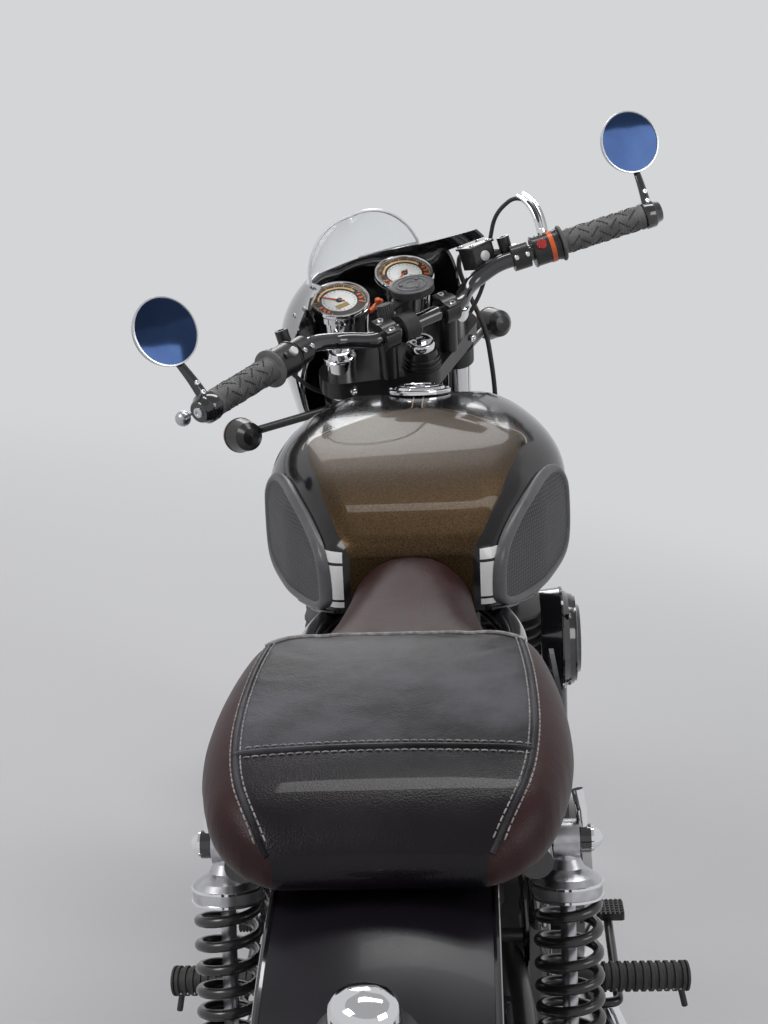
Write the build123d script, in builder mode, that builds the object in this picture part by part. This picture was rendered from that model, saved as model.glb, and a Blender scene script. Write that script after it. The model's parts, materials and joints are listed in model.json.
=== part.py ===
from build123d import *
import os
from math import acos, cos, degrees, pi, radians, sin, sqrt, tan

os.makedirs("parts", exist_ok=True)

# The motorcycle is modelled upright and straight ahead: X forward, Y to its left, Z up, millimetres,
# with the rear axle above the origin. At the end the steered pieces turn to full left lock and the
# whole machine leans over onto its side stand. Every size below is a real size.

# Layout
RAKE = radians(26.0)
FORK_OFFSET = 55.0
STEER_GROUND_X = 1559.0
LEAN = 12.5
LOCK = 36.5
BORE_GAP = 0.05

# Wheels and tyres
RIM_RADIUS = 225.5
RIM_HALF_WIDTH = 40.0
RIM_FLANGE = 12.5
RIM_DEPTH = 18.5
FRONT_TYRE_RADIUS = 318.6
FRONT_TYRE_SECTION = 50.0
REAR_TYRE_RADIUS = 332.6
REAR_TYRE_SECTION = 65.0
AXLE_RADIUS = 10.0
AXLE_BORE = 6.0
HUB_FLANGE_RADIUS = 60.0
HUB_FLANGE_OUT = 42.0
HUB_BARREL_RADIUS = 30.0
SPOKE_RADIUS = 1.9
SPOKES_PER_FAN = 9
SPOKE_SWEEP = 40.0
FRONT_DISC_RADIUS = 160.0
REAR_DISC_RADIUS = 135.0
DISC_THICKNESS = 5.0
FRONT_DISC_Y = -58.0
REAR_DISC_Y = -78.0
SPROCKET_RADIUS = 93.0
SPROCKET_THICKNESS = 7.0
CHAIN_Y = 84.0

# Fork and handlebar
FORK_SPREAD = 97.0
FORK_TUBE_RADIUS = 20.5
SLIDER_RADIUS = 27.5
STEM_RADIUS = 16.0
HEAD_TUBE_RADIUS = 27.0
HEAD_BOTTOM = 838.0
HEAD_TOP = 988.0
YOKE_THICKNESS = 26.0
YOKE_GAP = 6.0
FORK_TOP = 1046.0
BAR_RADIUS = 11.1
GRIP_RADIUS = 16.0

# Chassis
PIVOT_X = 525.0
PIVOT_Z = 360.0
RAIL_Y = 105.0
RAIL_Z = 720.0
RAIL_RADIUS = 12.5
CRADLE_Y = 122.0
CRADLE_Z = 186.0
CRADLE_RADIUS = 15.0
SHOCK_TOP = (98.0, 131.0, 696.0)
SHOCK_FOOT = (35.0, 132.0, 395.0)
MUFFLER_Y = 214.0
MUFFLER_RADIUS = 44.0
FENDER_WALL = 3.0

lean = radians(LEAN)
lock = radians(LOCK)
steer_dir = Vector(-sin(RAKE), 0, cos(RAKE))
steer_axis = Axis(Vector(STEER_GROUND_X, 0, 0), steer_dir)
fork_out = Vector(cos(RAKE), 0, sin(RAKE))

# The rear wheel stands on its leaning tyre
rear_axle_z = (REAR_TYRE_RADIUS - REAR_TYRE_SECTION) + REAR_TYRE_SECTION / cos(lean)

# The front axle's place along the steering axis, where the turned and leaning tyre meets the floor
camber = sin(RAKE) * sin(lock) * cos(lean) + cos(lock) * sin(lean)
tyre_drop = (FRONT_TYRE_RADIUS - FRONT_TYRE_SECTION) * sqrt(1 - camber**2) + FRONT_TYRE_SECTION
offset_rise = FORK_OFFSET * (cos(lock) * sin(RAKE) * cos(lean) - sin(lock) * sin(lean))
axle_along = (tyre_drop - offset_rise) / (cos(RAKE) * cos(lean))


def on_steering(along, out=0.0, side=0.0):
    """A point given along the steering axis, forward of it and to its left."""
    return Vector(STEER_GROUND_X, 0, 0) + steer_dir * along + fork_out * out + Vector(0, side, 0)


front_axle = on_steering(axle_along, FORK_OFFSET)
rear_axle = Vector(0, 0, rear_axle_z)


def rod(start, end, radius, mode=Mode.ADD):
    """Add or take away a straight round bar from one point to another."""
    start, end = Vector(start), Vector(end)
    with BuildSketch(Plane(origin=start, z_dir=end - start)) as section:
        Circle(radius)
    extrude(section.sketch, amount=(end - start).length, mode=mode)


def pipe(points, bends, radius, mode=Mode.ADD):
    """Add or take away a bent round tube along straight runs and tangent arcs."""
    with BuildLine() as way:
        FilletPolyline(*points, radius=bends)
    with BuildSketch(Plane(origin=way.line @ 0, z_dir=way.line % 0)) as section:
        Circle(radius)
    sweep(section.sketch, path=way.line, mode=mode)


def turned(origin, direction, outline, mode=Mode.ADD):
    """Add or take away a turned piece; its outline is (along the axis, radius) points."""
    across = Plane(origin=Vector(origin), z_dir=Vector(direction)).x_dir
    plane = Plane(origin=Vector(origin), x_dir=Vector(direction), z_dir=Vector(direction).cross(across))
    with BuildSketch(plane) as section:
        with BuildLine():
            Polyline(*outline, close=True)
        make_face()
    revolve(section.sketch, axis=Axis(Vector(origin), Vector(direction)), mode=mode)


def block(low, high, edge=0.0, mode=Mode.ADD):
    """Add or take away a box between two corners, with its upright edges rounded."""
    low, high = Vector(low), Vector(high)
    size = high - low
    middle = (high + low) / 2
    with BuildSketch(Plane.XY.offset(low.Z)) as section:
        with Locations((middle.X, middle.Y)):
            if edge:
                RectangleRounded(size.X, size.Y, edge)
            else:
                Rectangle(size.X, size.Y)
    extrude(section.sketch, amount=size.Z, mode=mode)


def side_plate(outline, y_from, y_to, mode=Mode.ADD):
    """Add or take away a flat plate seen from the side; its outline is (x, z) points."""
    with BuildSketch(Plane(origin=(0, y_from, 0), x_dir=(1, 0, 0), z_dir=(0, -1, 0))) as section:
        with BuildLine():
            Polyline(*outline, close=True)
        make_face()
    extrude(section.sketch, amount=-(y_to - y_from), mode=mode)


def fender(axle, radius, half, crown, start, stop):
    """Add a crowned shell round a wheel, between two angles above straight ahead."""
    first = Vector(cos(radians(start)), 0, sin(radians(start)))
    edge = radius - crown
    with BuildSketch(Plane(origin=axle, x_dir=(0, 1, 0), z_dir=Vector(0, 1, 0).cross(first))) as section:
        with BuildLine():
            ThreePointArc((-half, edge), (0, radius), (half, edge))
            Line((half, edge), (half, edge - FENDER_WALL))
            ThreePointArc((half, edge - FENDER_WALL), (0, radius - FENDER_WALL), (-half, edge - FENDER_WALL))
            Line((-half, edge - FENDER_WALL), (-half, edge))
        make_face()
    revolve(section.sketch, axis=Axis(axle, Vector(0, -1, 0)), revolution_arc=stop - start)


def rounded_loft(sections, grow=0.0, mode=Mode.ADD):
    """Add or take away a body through rounded sections given as (x, half width, low, high, corner)."""
    faces = []
    for x, half, low, high, corner in sections:
        with BuildSketch(Plane(origin=(x, 0, 0), x_dir=(0, 1, 0), z_dir=(1, 0, 0))) as section:
            with Locations((0, (low + high) / 2)):
                RectangleRounded(2 * (half + grow), high - low + 2 * grow, corner + grow)
        faces.append(section.sketch.faces()[0])
    loft(faces, mode=mode)


def ball(centre, radius):
    """Add a ball."""
    turned(
        Vector(centre) - Vector(0, 0, radius),
        (0, 0, 1),
        [(0, 0)]
        + [(radius - radius * cos(pi * i / 8), radius * sin(pi * i / 8)) for i in range(1, 8)]
        + [(2 * radius, 0)],
    )


# Tyres
# name, axle, outer radius, section radius
tyres = (
    ("front_tyre", front_axle, FRONT_TYRE_RADIUS, FRONT_TYRE_SECTION),
    ("rear_tyre", rear_axle, REAR_TYRE_RADIUS, REAR_TYRE_SECTION),
)
TYRE_BEAD = RIM_HALF_WIDTH - 4.5
made = {}
for name, axle, radius, section in tyres:
    with BuildPart() as tyre:
        with BuildSketch(Plane(origin=axle, x_dir=(0, 1, 0), z_dir=(1, 0, 0))):
            with BuildLine():
                Polyline(
                    (-section, radius - section),
                    (-TYRE_BEAD, RIM_RADIUS + RIM_FLANGE + 1),
                    (-TYRE_BEAD, RIM_RADIUS + 0.5),
                    (TYRE_BEAD, RIM_RADIUS + 0.5),
                    (TYRE_BEAD, RIM_RADIUS + RIM_FLANGE + 1),
                    (section, radius - section),
                )
                ThreePointArc((section, radius - section), (0, radius), (-section, radius - section))
            make_face()
        revolve(axis=Axis(axle, Vector(0, 1, 0)))
    made[name] = tyre.part


def wire_wheel(axle, hub_outline):
    """The rim, the wire spokes and the hub of one wheel as one solid."""
    spoke_end = RIM_RADIUS - RIM_DEPTH + 2
    with BuildPart() as wheel:
        turned(axle, (0, 1, 0), hub_outline)
        with BuildSketch(Plane(origin=axle, x_dir=(0, 1, 0), z_dir=(1, 0, 0))):
            with BuildLine():
                Polyline(
                    (-RIM_HALF_WIDTH, RIM_RADIUS + RIM_FLANGE),
                    (-RIM_HALF_WIDTH + 4, RIM_RADIUS + RIM_FLANGE),
                    (-RIM_HALF_WIDTH + 4, RIM_RADIUS),
                    (RIM_HALF_WIDTH - 4, RIM_RADIUS),
                    (RIM_HALF_WIDTH - 4, RIM_RADIUS + RIM_FLANGE),
                    (RIM_HALF_WIDTH, RIM_RADIUS + RIM_FLANGE),
                    (RIM_HALF_WIDTH, RIM_RADIUS - 3),
                    (RIM_DEPTH, RIM_RADIUS - RIM_DEPTH),
                    (-RIM_DEPTH, RIM_RADIUS - RIM_DEPTH),
                    (-RIM_HALF_WIDTH, RIM_RADIUS - 3),
                    close=True,
                )
            make_face()
        revolve(axis=Axis(axle, Vector(0, 1, 0)))
        # side, turn of the fan, distance out at the hub, distance out at the rim, first angle
        fans = (
            (1, 1, HUB_FLANGE_OUT - 3, 12, 0),
            (1, -1, HUB_FLANGE_OUT - 9, 6, 20),
            (-1, 1, HUB_FLANGE_OUT - 3, 12, 10),
            (-1, -1, HUB_FLANGE_OUT - 9, 6, 30),
        )
        for side, sweep_way, out_hub, out_rim, first in fans:
            for i in range(SPOKES_PER_FAN):
                at_hub = radians(first + i * 360 / SPOKES_PER_FAN)
                at_rim = at_hub + sweep_way * radians(SPOKE_SWEEP)
                hub_r = HUB_FLANGE_RADIUS - 6
                start = axle + Vector(hub_r * cos(at_hub), side * out_hub, hub_r * sin(at_hub))
                end = axle + Vector(spoke_end * cos(at_rim), side * out_rim, spoke_end * sin(at_rim))
                rod(start, end, SPOKE_RADIUS)
        rod(axle - Vector(0, 120, 0), axle + Vector(0, 120, 0), AXLE_RADIUS + BORE_GAP, Mode.SUBTRACT)
    return wheel.part


def hub_profile(left_end, right_end):
    """The hub's outline from its right end to its left end, as (along Y, radius) points."""
    return (
        (right_end, 0),
        (right_end, 20),
        (-HUB_FLANGE_OUT - 2, 24),
        (-HUB_FLANGE_OUT, HUB_FLANGE_RADIUS),
        (-HUB_FLANGE_OUT + 12, HUB_FLANGE_RADIUS),
        (-HUB_FLANGE_OUT + 16, HUB_BARREL_RADIUS),
        (HUB_FLANGE_OUT - 16, HUB_BARREL_RADIUS),
        (HUB_FLANGE_OUT - 12, HUB_FLANGE_RADIUS),
        (HUB_FLANGE_OUT, HUB_FLANGE_RADIUS),
        (HUB_FLANGE_OUT + 2, 24),
        (left_end, 20),
        (left_end, 0),
    )


FRONT_HUB_END = 64.0
REAR_HUB_END = 93.0
made["front_wheel"] = wire_wheel(front_axle, hub_profile(FRONT_HUB_END, -FRONT_HUB_END))
made["rear_wheel"] = wire_wheel(rear_axle, hub_profile(REAR_HUB_END, -REAR_HUB_END))

# Brake discs, each with its slotted carrier
# name, axle, place across, outer radius
discs = (
    ("front_disc", front_axle, FRONT_DISC_Y, FRONT_DISC_RADIUS),
    ("rear_disc", rear_axle, REAR_DISC_Y, REAR_DISC_RADIUS),
)
for name, axle, across, radius in discs:
    with BuildPart() as disc:
        with BuildSketch(Plane(origin=axle + Vector(0, across, 0), z_dir=(0, 1, 0))):
            Circle(radius)
            Circle(24.5, mode=Mode.SUBTRACT)
            with PolarLocations((radius + 24.5) / 2 - 14, 6):
                RectangleRounded(radius / 3.2, radius / 4.2, 8, mode=Mode.SUBTRACT)
        extrude(amount=DISC_THICKNESS / 2, both=True)
    made[name] = disc.part

with BuildPart() as sprocket:
    with BuildSketch(Plane(origin=rear_axle + Vector(0, CHAIN_Y, 0), z_dir=(0, 1, 0))):
        Circle(SPROCKET_RADIUS)
        Circle(24.5, mode=Mode.SUBTRACT)
        with PolarLocations(58, 5):
            Circle(13, mode=Mode.SUBTRACT)
    extrude(amount=SPROCKET_THICKNESS / 2, both=True)
made["rear_sprocket"] = sprocket.part

# Side stand: its pivot, its foot on the floor and its place when folded back
STAND_BOLT = 6.0
STAND_RADIUS = 11.0
STAND_FOOT_Y = 262.0
stand_pivot = Vector(600, 161, 166)
stand_foot = Vector(655, STAND_FOOT_Y, STAND_FOOT_Y * tan(lean))
floor_up = Vector(0, -sin(lean), cos(lean))
stand_out = (stand_foot + floor_up * 8 - stand_pivot).normalized()
stand_back = Vector(-0.99, 0.03, 0.06).normalized()
stand_axis = stand_out.cross(stand_back).normalized()
stand_range = degrees(acos(stand_out.dot(stand_back)))

# Frame: head tube, backbone, two cradle loops, seat rail loop, stays, pivot shaft and lugs
head_low = on_steering(HEAD_BOTTOM)
head_high = on_steering(HEAD_TOP)
REAR_END_X = 10.0
BACKBONE_RADIUS = 22.0
backbone = [(1140, 0, 838), (900, 0, 795), (560, 0, 705)]


def seat_rail(side):
    """The run of the seat rail on one side, from under the tank to the tail."""
    return [(720, side * 18, 750), (540, side * RAIL_Y, RAIL_Z), (REAR_END_X, side * RAIL_Y, RAIL_Z)]


with BuildPart() as frame:
    rod(head_low, head_high, HEAD_TUBE_RADIUS)
    pipe(backbone, [200], BACKBONE_RADIUS)
    for side in (1, -1):
        pipe(
            [
                (1165, side * 12, 789),
                (1085, side * 92, 520),
                (1022, side * CRADLE_Y, CRADLE_Z),
                (585, side * CRADLE_Y, CRADLE_Z),
                (512, side * CRADLE_Y, PIVOT_Z),
                (470, side * RAIL_Y, RAIL_Z),
            ],
            [220, 80, 70, 150],
            CRADLE_RADIUS,
        )
        rod((505, side * CRADLE_Y, 400), (175, side * RAIL_Y, RAIL_Z), 10)
        side_plate([(485, 315), (565, 300), (570, 410), (490, 420)], *sorted((side * 112, side * 122)))
        rod((SHOCK_TOP[0], side * RAIL_Y, RAIL_Z), (SHOCK_TOP[0], side * RAIL_Y, SHOCK_TOP[2]), 11)
        rod((SHOCK_TOP[0], side * RAIL_Y, SHOCK_TOP[2]), (SHOCK_TOP[0], side * 149, SHOCK_TOP[2]), 7)
        rod((SHOCK_TOP[0], side * 142, SHOCK_TOP[2]), (SHOCK_TOP[0], side * 150, SHOCK_TOP[2]), 11)
    for side in (1, -1):
        pipe(seat_rail(side), [180], RAIL_RADIUS)
    rod((300, -RAIL_Y, RAIL_Z), (300, RAIL_Y, RAIL_Z), 10)
    rod((PIVOT_X, -132, PIVOT_Z), (PIVOT_X, 132, PIVOT_Z), AXLE_RADIUS)
    rod((620, -CRADLE_Y, CRADLE_Z), (620, CRADLE_Y, CRADLE_Z), 12)
    rod((1060, -100, 385), (1060, 100, 385), 11)
    rod(on_steering(HEAD_BOTTOM - 1), on_steering(HEAD_TOP + 1), STEM_RADIUS + BORE_GAP, Mode.SUBTRACT)
    rod((600, CRADLE_Y - 6, CRADLE_Z - 10), stand_pivot - stand_axis * 19, 8)
    rod(stand_pivot - stand_axis * 23, stand_pivot - stand_axis * 8, 15)
    rod(stand_pivot - stand_axis * 23, stand_pivot + stand_axis * 9, STAND_BOLT)
    rod(stand_pivot + stand_axis * 8, stand_pivot + stand_axis * 14, 11)
made["frame"] = frame.part

# Swingarm with its pivot tube, its shock ears and its axle ends
LEG_RADIUS = 17.0
LEG_Y = 115.0
with BuildPart() as swingarm:
    rod((PIVOT_X, -106, PIVOT_Z), (PIVOT_X, 106, PIVOT_Z), 22)
    for side in (1, -1):
        pipe(
            [(PIVOT_X - 5, side * 88, PIVOT_Z), (410, side * 98, PIVOT_Z - 4), (-30, side * LEG_Y, rear_axle_z)],
            [160],
            LEG_RADIUS,
        )
        rod((-30, side * (LEG_Y - 16), rear_axle_z), (-30, side * (LEG_Y + 14), rear_axle_z), 20)
        side_plate(
            [(10, 340), (60, 340), (50, 405), (22, 405)],
            *sorted((side * (LEG_Y - 4), side * (LEG_Y + 2))),
        )
        rod((SHOCK_FOOT[0], side * (LEG_Y - 3), SHOCK_FOOT[2]), (SHOCK_FOOT[0], side * 150, SHOCK_FOOT[2]), 7)
    rod((408, -98, PIVOT_Z - 4), (408, 98, PIVOT_Z - 4), 15)
    rod((PIVOT_X, -140, PIVOT_Z), (PIVOT_X, 140, PIVOT_Z), AXLE_RADIUS + BORE_GAP, Mode.SUBTRACT)
    rod(rear_axle - Vector(0, 160, 0), rear_axle + Vector(0, 160, 0), AXLE_RADIUS + BORE_GAP, Mode.SUBTRACT)
made["swingarm"] = swingarm.part


def hollow_axle(axle, half_length, collar_from, collar_to, nut_out):
    """A bored axle with spacers beside the hub and a nut at each end."""
    with BuildPart() as shaft:
        rod(axle - Vector(0, half_length, 0), axle + Vector(0, half_length, 0), AXLE_RADIUS)
        for side in (1, -1):
            rod(axle + Vector(0, side * collar_from, 0), axle + Vector(0, side * collar_to, 0), 17)
            rod(axle + Vector(0, side * nut_out, 0), axle + Vector(0, side * (nut_out + 11), 0), 16)
        rod(axle - Vector(0, 200, 0), axle + Vector(0, 200, 0), AXLE_BORE, Mode.SUBTRACT)
    return shaft.part


made["rear_axle"] = hollow_axle(rear_axle, 142, REAR_HUB_END + 0.5, 96.0, LEG_Y + LEG_RADIUS + 0.3)
made["front_axle"] = hollow_axle(front_axle, 136, FRONT_HUB_END + 0.5, FORK_SPREAD - SLIDER_RADIUS - 0.3, 125.3)

# Chain: one closed loop with side walls round the rear sprocket
CHAIN_FRONT_X = 640.0
CHAIN_FRONT_RADIUS = 36.0
CHAIN_POCKET = 56.0
CHAIN_TOP = SPROCKET_RADIUS + 11.0
CHAIN_LOW = SPROCKET_RADIUS - 7.0
with BuildPart() as chain:
    for reach, half, mode in (
        (CHAIN_TOP, 9.0, Mode.ADD),
        (CHAIN_LOW, 10.0, Mode.SUBTRACT),
        (CHAIN_TOP - 4, 6.5, Mode.SUBTRACT),
    ):
        shrink = CHAIN_TOP - reach
        with BuildSketch(Plane(origin=(0, CHAIN_Y, 0), x_dir=(1, 0, 0), z_dir=(0, -1, 0))):
            with Locations((0, rear_axle_z)):
                Circle(reach)
            with Locations((CHAIN_FRONT_X, PIVOT_Z)):
                Circle(CHAIN_FRONT_RADIUS + 11 - shrink)
            make_hull()
        extrude(amount=half, both=True, mode=mode)
made["chain"] = chain.part

# Engine
ENGINE_X = 830.0
with BuildPart() as crankcase:
    side_plate(
        [(600, 210), (700, 178), (960, 178), (1000, 240), (985, 440), (930, 474), (640, 474), (600, 400)],
        -104,
        104,
    )
    fillet(crankcase.edges().filter_by(Axis.Y), 14)
    rod((CHAIN_FRONT_X, CHAIN_Y - 16, PIVOT_Z), (CHAIN_FRONT_X, 104, PIVOT_Z), CHAIN_POCKET, Mode.SUBTRACT)
    block(
        (590, CHAIN_Y - 16, PIVOT_Z - CHAIN_POCKET),
        (CHAIN_FRONT_X, 104, PIVOT_Z + CHAIN_POCKET),
        mode=Mode.SUBTRACT,
    )
made["crankcase"] = crankcase.part

FIN_PITCH = 12.0
FIN_THICKNESS = 3.0
BARREL_LOW = 474.3
BARREL_HIGH = 606.0
with BuildPart() as cylinders:
    block((ENGINE_X - 62, -112, BARREL_LOW), (ENGINE_X + 62, 112, BARREL_HIGH), 40)
    for i in range(10):
        z = BARREL_LOW + 8 + i * FIN_PITCH
        block((ENGINE_X - 84, -138, z), (ENGINE_X + 84, 138, z + FIN_THICKNESS), 45)
made["cylinders"] = cylinders.part

HEAD_LOW = BARREL_HIGH + 0.3
HEAD_FRONT = ENGINE_X + 92
HEAD_BACK = ENGINE_X - 92
PORT_Y = 62.0
PORT_Z = 655.0
INTAKE_Y = 48.0
INTAKE_Z = 640.0
AIRBOX_BACK = 590.0
with BuildPart() as cylinder_head:
    block((ENGINE_X - 70, -116, HEAD_LOW), (ENGINE_X + 70, 116, HEAD_LOW + 64), 36)
    for i in range(5):
        z = HEAD_LOW + 6 + i * FIN_PITCH
        block((HEAD_BACK, -142, z), (HEAD_FRONT, 142, z + FIN_THICKNESS), 45)
    block((ENGINE_X - 62, -108, HEAD_LOW + 64), (ENGINE_X + 62, 108, HEAD_LOW + 120), 30)
    fillet(cylinder_head.faces().sort_by(Axis.Z)[-1].edges(), 16)
    for side in (1, -1):
        rod((ENGINE_X + 60, side * PORT_Y, PORT_Z), (HEAD_FRONT, side * PORT_Y, PORT_Z), 25)
        rod((HEAD_BACK, side * INTAKE_Y, INTAKE_Z), (ENGINE_X - 60, side * INTAKE_Y, INTAKE_Z), 31)
made["cylinder_head"] = cylinder_head.part

with BuildPart() as engine_covers:
    # Right side: clutch cover, its crank end and the bevel shaft tower with its domed cap
    for centre_x, centre_z, radius, depth in ((715, 345, 112, 88), (885, 335, 84, 70)):
        turned(
            (centre_x, -104.3, centre_z),
            (0, -1, 0),
            [(0, 0), (0, radius), (depth * 0.55, radius), (depth * 0.85, radius * 0.86), (depth, radius * 0.5), (depth, 0)],
        )
    side_plate([(715, 240), (885, 255), (885, 415), (715, 452)], -150, -104.3)
    rod((ENGINE_X, -158, 400), (ENGINE_X, -158, 600), 17)
    turned(
        (ENGINE_X, -142.5, 610),
        (0, -1, 0),
        [(0, 0), (0, 61), (26, 64), (34, 57), (40, 55), (44, 44), (48, 41), (52, 0)],
    )
    # Left side: alternator cover and sprocket cover
    turned(
        (885, 104.3, 335),
        (0, 1, 0),
        [(0, 0), (0, 88), (52, 86), (66, 70), (72, 44), (76, 42), (76, 0)],
    )
    side_plate([(600, 270), (800, 240), (800, 440), (640, 440), (600, 400)], 104.3, 132)
made["engine_covers"] = engine_covers.part

# Intake: airbox with battery case, and two throttle bodies with their boots
with BuildPart() as intake:
    block((395, -86, 480), (AIRBOX_BACK, 86, 674), 14)
    reach = HEAD_BACK - 0.3 - AIRBOX_BACK + 2
    for side in (1, -1):
        turned(
            (AIRBOX_BACK - 2, side * INTAKE_Y, INTAKE_Z),
            (1, 0, 0),
            [(0, 0), (0, 33), (26, 33), (30, 28), (50, 28), (54, 36), (112, 36), (116, 29), (reach, 29), (reach, 0)],
        )
        rod((672, side * INTAKE_Y, 588), (672, side * INTAKE_Y, 700), 22)
made["intake"] = intake.part

# Exhausts: one header and one tapered silencer each side
for name, side in (("exhaust_left", 1), ("exhaust_right", -1)):
    with BuildPart() as exhaust:
        pipe(
            [
                (HEAD_FRONT + 0.3, side * PORT_Y, PORT_Z),
                (1004, side * PORT_Y, PORT_Z),
                (1058, side * 152, 400),
                (985, side * 176, 212),
                (760, side * 186, 204),
                (480, side * MUFFLER_Y, 250),
            ],
            [55, 150, 120, 200],
            19,
        )
        turned(
            (500, side * (MUFFLER_Y - 3), 247),
            (-0.998, 0, 0.058),
            [(0, 0), (0, 22), (70, 24), (200, MUFFLER_RADIUS), (560, MUFFLER_RADIUS), (640, 30), (640, 0)],
        )
    made[name] = exhaust.part

# Fuel tank: rounded sections along X, trimmed below to the line of its seam, tunnelled over the backbone
# x, half width, bottom, top, corner radius
tank_sections = (
    (1062, 52, 800, 872, 24),
    (1000, 118, 718, 894, 52),
    (900, 160, 706, 899, 70),
    (780, 174, 706, 888, 66),
    (665, 141, 693, 868, 54),
    (600, 111, 698, 844, 42),
    (562, 93, 706, 819, 32),
    (548, 82, 712, 806, 28),
)
tank_side = [
    (540, 960), (540, 738), (600, 728), (690, 723), (760, 733), (900, 736), (1010, 752), (1070, 826), (1070, 960),
]
with BuildPart() as fuel_tank:
    rounded_loft(tank_sections)
    side_plate(tank_side, -200, 200, Mode.INTERSECT)
    block((500, -34, 600), (1100, 34, 790), mode=Mode.SUBTRACT)
    pipe(backbone, [200], BACKBONE_RADIUS + 6, Mode.SUBTRACT)
    for side in (1, -1):
        pipe(seat_rail(side), [180], RAIL_RADIUS + 4, Mode.SUBTRACT)
made["fuel_tank"] = fuel_tank.part

with BuildPart() as fuel_cap:
    turned(
        (972, 0, 899.3),
        (0.06, 0, 0.998),
        [(0, 0), (0, 40), (3, 40), (5, 33), (8, 31), (9, 26), (9, 0)],
    )
made["fuel_cap"] = fuel_cap.part

PAD_THICKNESS = 9.0
pad_outline = [
    (552, 739), (551, 800), (566, 825), (592, 845), (662, 863), (712, 862), (750, 836), (778, 798), (788, 760),
    (768, 735), (690, 723.5), (600, 728.5),
]
with BuildPart() as knee_pads:
    rounded_loft(tank_sections, PAD_THICKNESS)
    side_plate(pad_outline, -250, 250, Mode.INTERSECT)
    block((500, -72, 700), (900, 72, 900), mode=Mode.SUBTRACT)
    rounded_loft(tank_sections, 0.4, Mode.SUBTRACT)
made["knee_pads"] = knee_pads.part

# Seat: rider's part that rises to the tank, and the raised rear part
# x, half width, bottom, top, corner radius
rider_sections = (
    (546.5, 66, 670, 803, 65),
    (500, 69, 668, 797, 60),
    (400, 83, 680, 782, 42),
    (310, 110, 700, 778, 28),
    (215, 124, 700, 800, 26),
)
hump_sections = (
    (262, 104, 738, 802, 20),
    (205, 126, 738, 824, 34),
    (70, 138, 738, 814, 37),
    (-25, 122, 738, 796, 28),
    (-58, 100, 739, 778, 19),
    (-76, 70, 742, 760, 8.5),
)
with BuildPart() as seat:
    rounded_loft(rider_sections)
    rounded_loft(hump_sections)
    block((-100, -200, 600), (600, 200, 738), mode=Mode.SUBTRACT)
made["seat"] = seat.part

with BuildPart() as side_covers:
    for side in (1, -1):
        side_plate(
            [(340, 470), (520, 440), (575, 500), (560, 690), (420, 700), (300, 610)],
            *sorted((side * 141, side * 146)),
        )
        rod((440, side * 86.3, 560), (440, side * 141, 560), 8)
made["side_covers"] = side_covers.part

# Rear fender: a crowned shell round the wheel, with its plate holder
FENDER_RADIUS = 402.0
FENDER_HALF = 76.0
FENDER_CROWN = 12.0
FENDER_FROM = 58.0
FENDER_TO = 141.0


with BuildPart() as rear_fender:
    fender(rear_axle, FENDER_RADIUS, FENDER_HALF, FENDER_CROWN, FENDER_FROM, FENDER_TO)
    block((-250, -22, 648), (-226, 22, 672), 6)
    for side in (1, -1):
        rod((30, side * (FENDER_HALF - 3), 719), (30, side * (RAIL_Y - RAIL_RADIUS - 0.3), 719), 5)
made["rear_fender"] = rear_fender.part


with BuildPart() as tail_light:
    turned(
        (-205, 0, 717),
        (-1, 0, 0),
        [(0, 0), (0, 24), (10, 34), (34, 38), (56, 38), (58, 36), (74, 32), (78, 20), (78, 0)],
    )
    block((-250, -18, 672.3), (-228, 18, 690), 4)
made["tail_light"] = tail_light.part

# Blank number plate on its slanted holder, with two bolt holes
PLATE_HOLE_RADIUS = 3.2
PLATE_HOLE_Y = 60.0
plate_normal = Vector(-0.9675, 0, 0.253)
plate_hole_points = [Vector(-337, side * PLATE_HOLE_Y, 535.5) for side in (1, -1)]
with BuildPart() as plate_holder:
    side_plate([(-318, 600), (-322, 601), (-356, 471), (-352, 470)], -95, 95)
    for y in (-45, 45):
        rod((-311.5, y, 588), (-322, y, 586), 6)
    for point in plate_hole_points:
        rod(point - plate_normal * 20, point + plate_normal * 20, PLATE_HOLE_RADIUS, Mode.SUBTRACT)
made["plate_holder"] = plate_holder.part
with BuildPart() as rear_signals:
    for side in (1, -1):
        rod((-168, side * (FENDER_HALF + 2.5), 684), (-186, side * 140, 664), 6)
        turned(
            (-160, side * 160, 658),
            (-1, 0, 0),
            [(0, 0), (2, 12), (10, 20), (36, 24), (40, 24), (50, 22), (56, 10), (56, 0)],
        )
made["rear_signals"] = rear_signals.part

# Rear dampers with their eyes and caps, and the springs round them
# along from the lower eye, radius
damper_outline = (
    (9, 0), (9, 14), (20, 14), (24, 19), (30, 19), (31, 27), (37, 27), (38, 18.5), (150, 18.5), (151, 6),
    (262, 6), (263, 27), (276, 27), (280, 23), (286, 14), (293, 10.5), (298, 10.5), (298, 0),
)
SPRING_LOW = 38.0
SPRING_HIGH = 262.0
SPRING_TURNS = 12
SPRING_WIRE = 4.2
with BuildPart() as shock_dampers:
    for side in (1, -1):
        low = Vector(SHOCK_FOOT[0], side * SHOCK_FOOT[1], SHOCK_FOOT[2])
        high = Vector(SHOCK_TOP[0], side * SHOCK_TOP[1], SHOCK_TOP[2])
        along = (high - low).normalized()
        turned(low, along, damper_outline)
        for eye in (low, high):
            rod(eye - Vector(0, 10, 0), eye + Vector(0, 10, 0), 15)
            rod(eye - Vector(0, 30, 0), eye + Vector(0, 30, 0), 7 + BORE_GAP, Mode.SUBTRACT)
made["shock_dampers"] = shock_dampers.part

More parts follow.
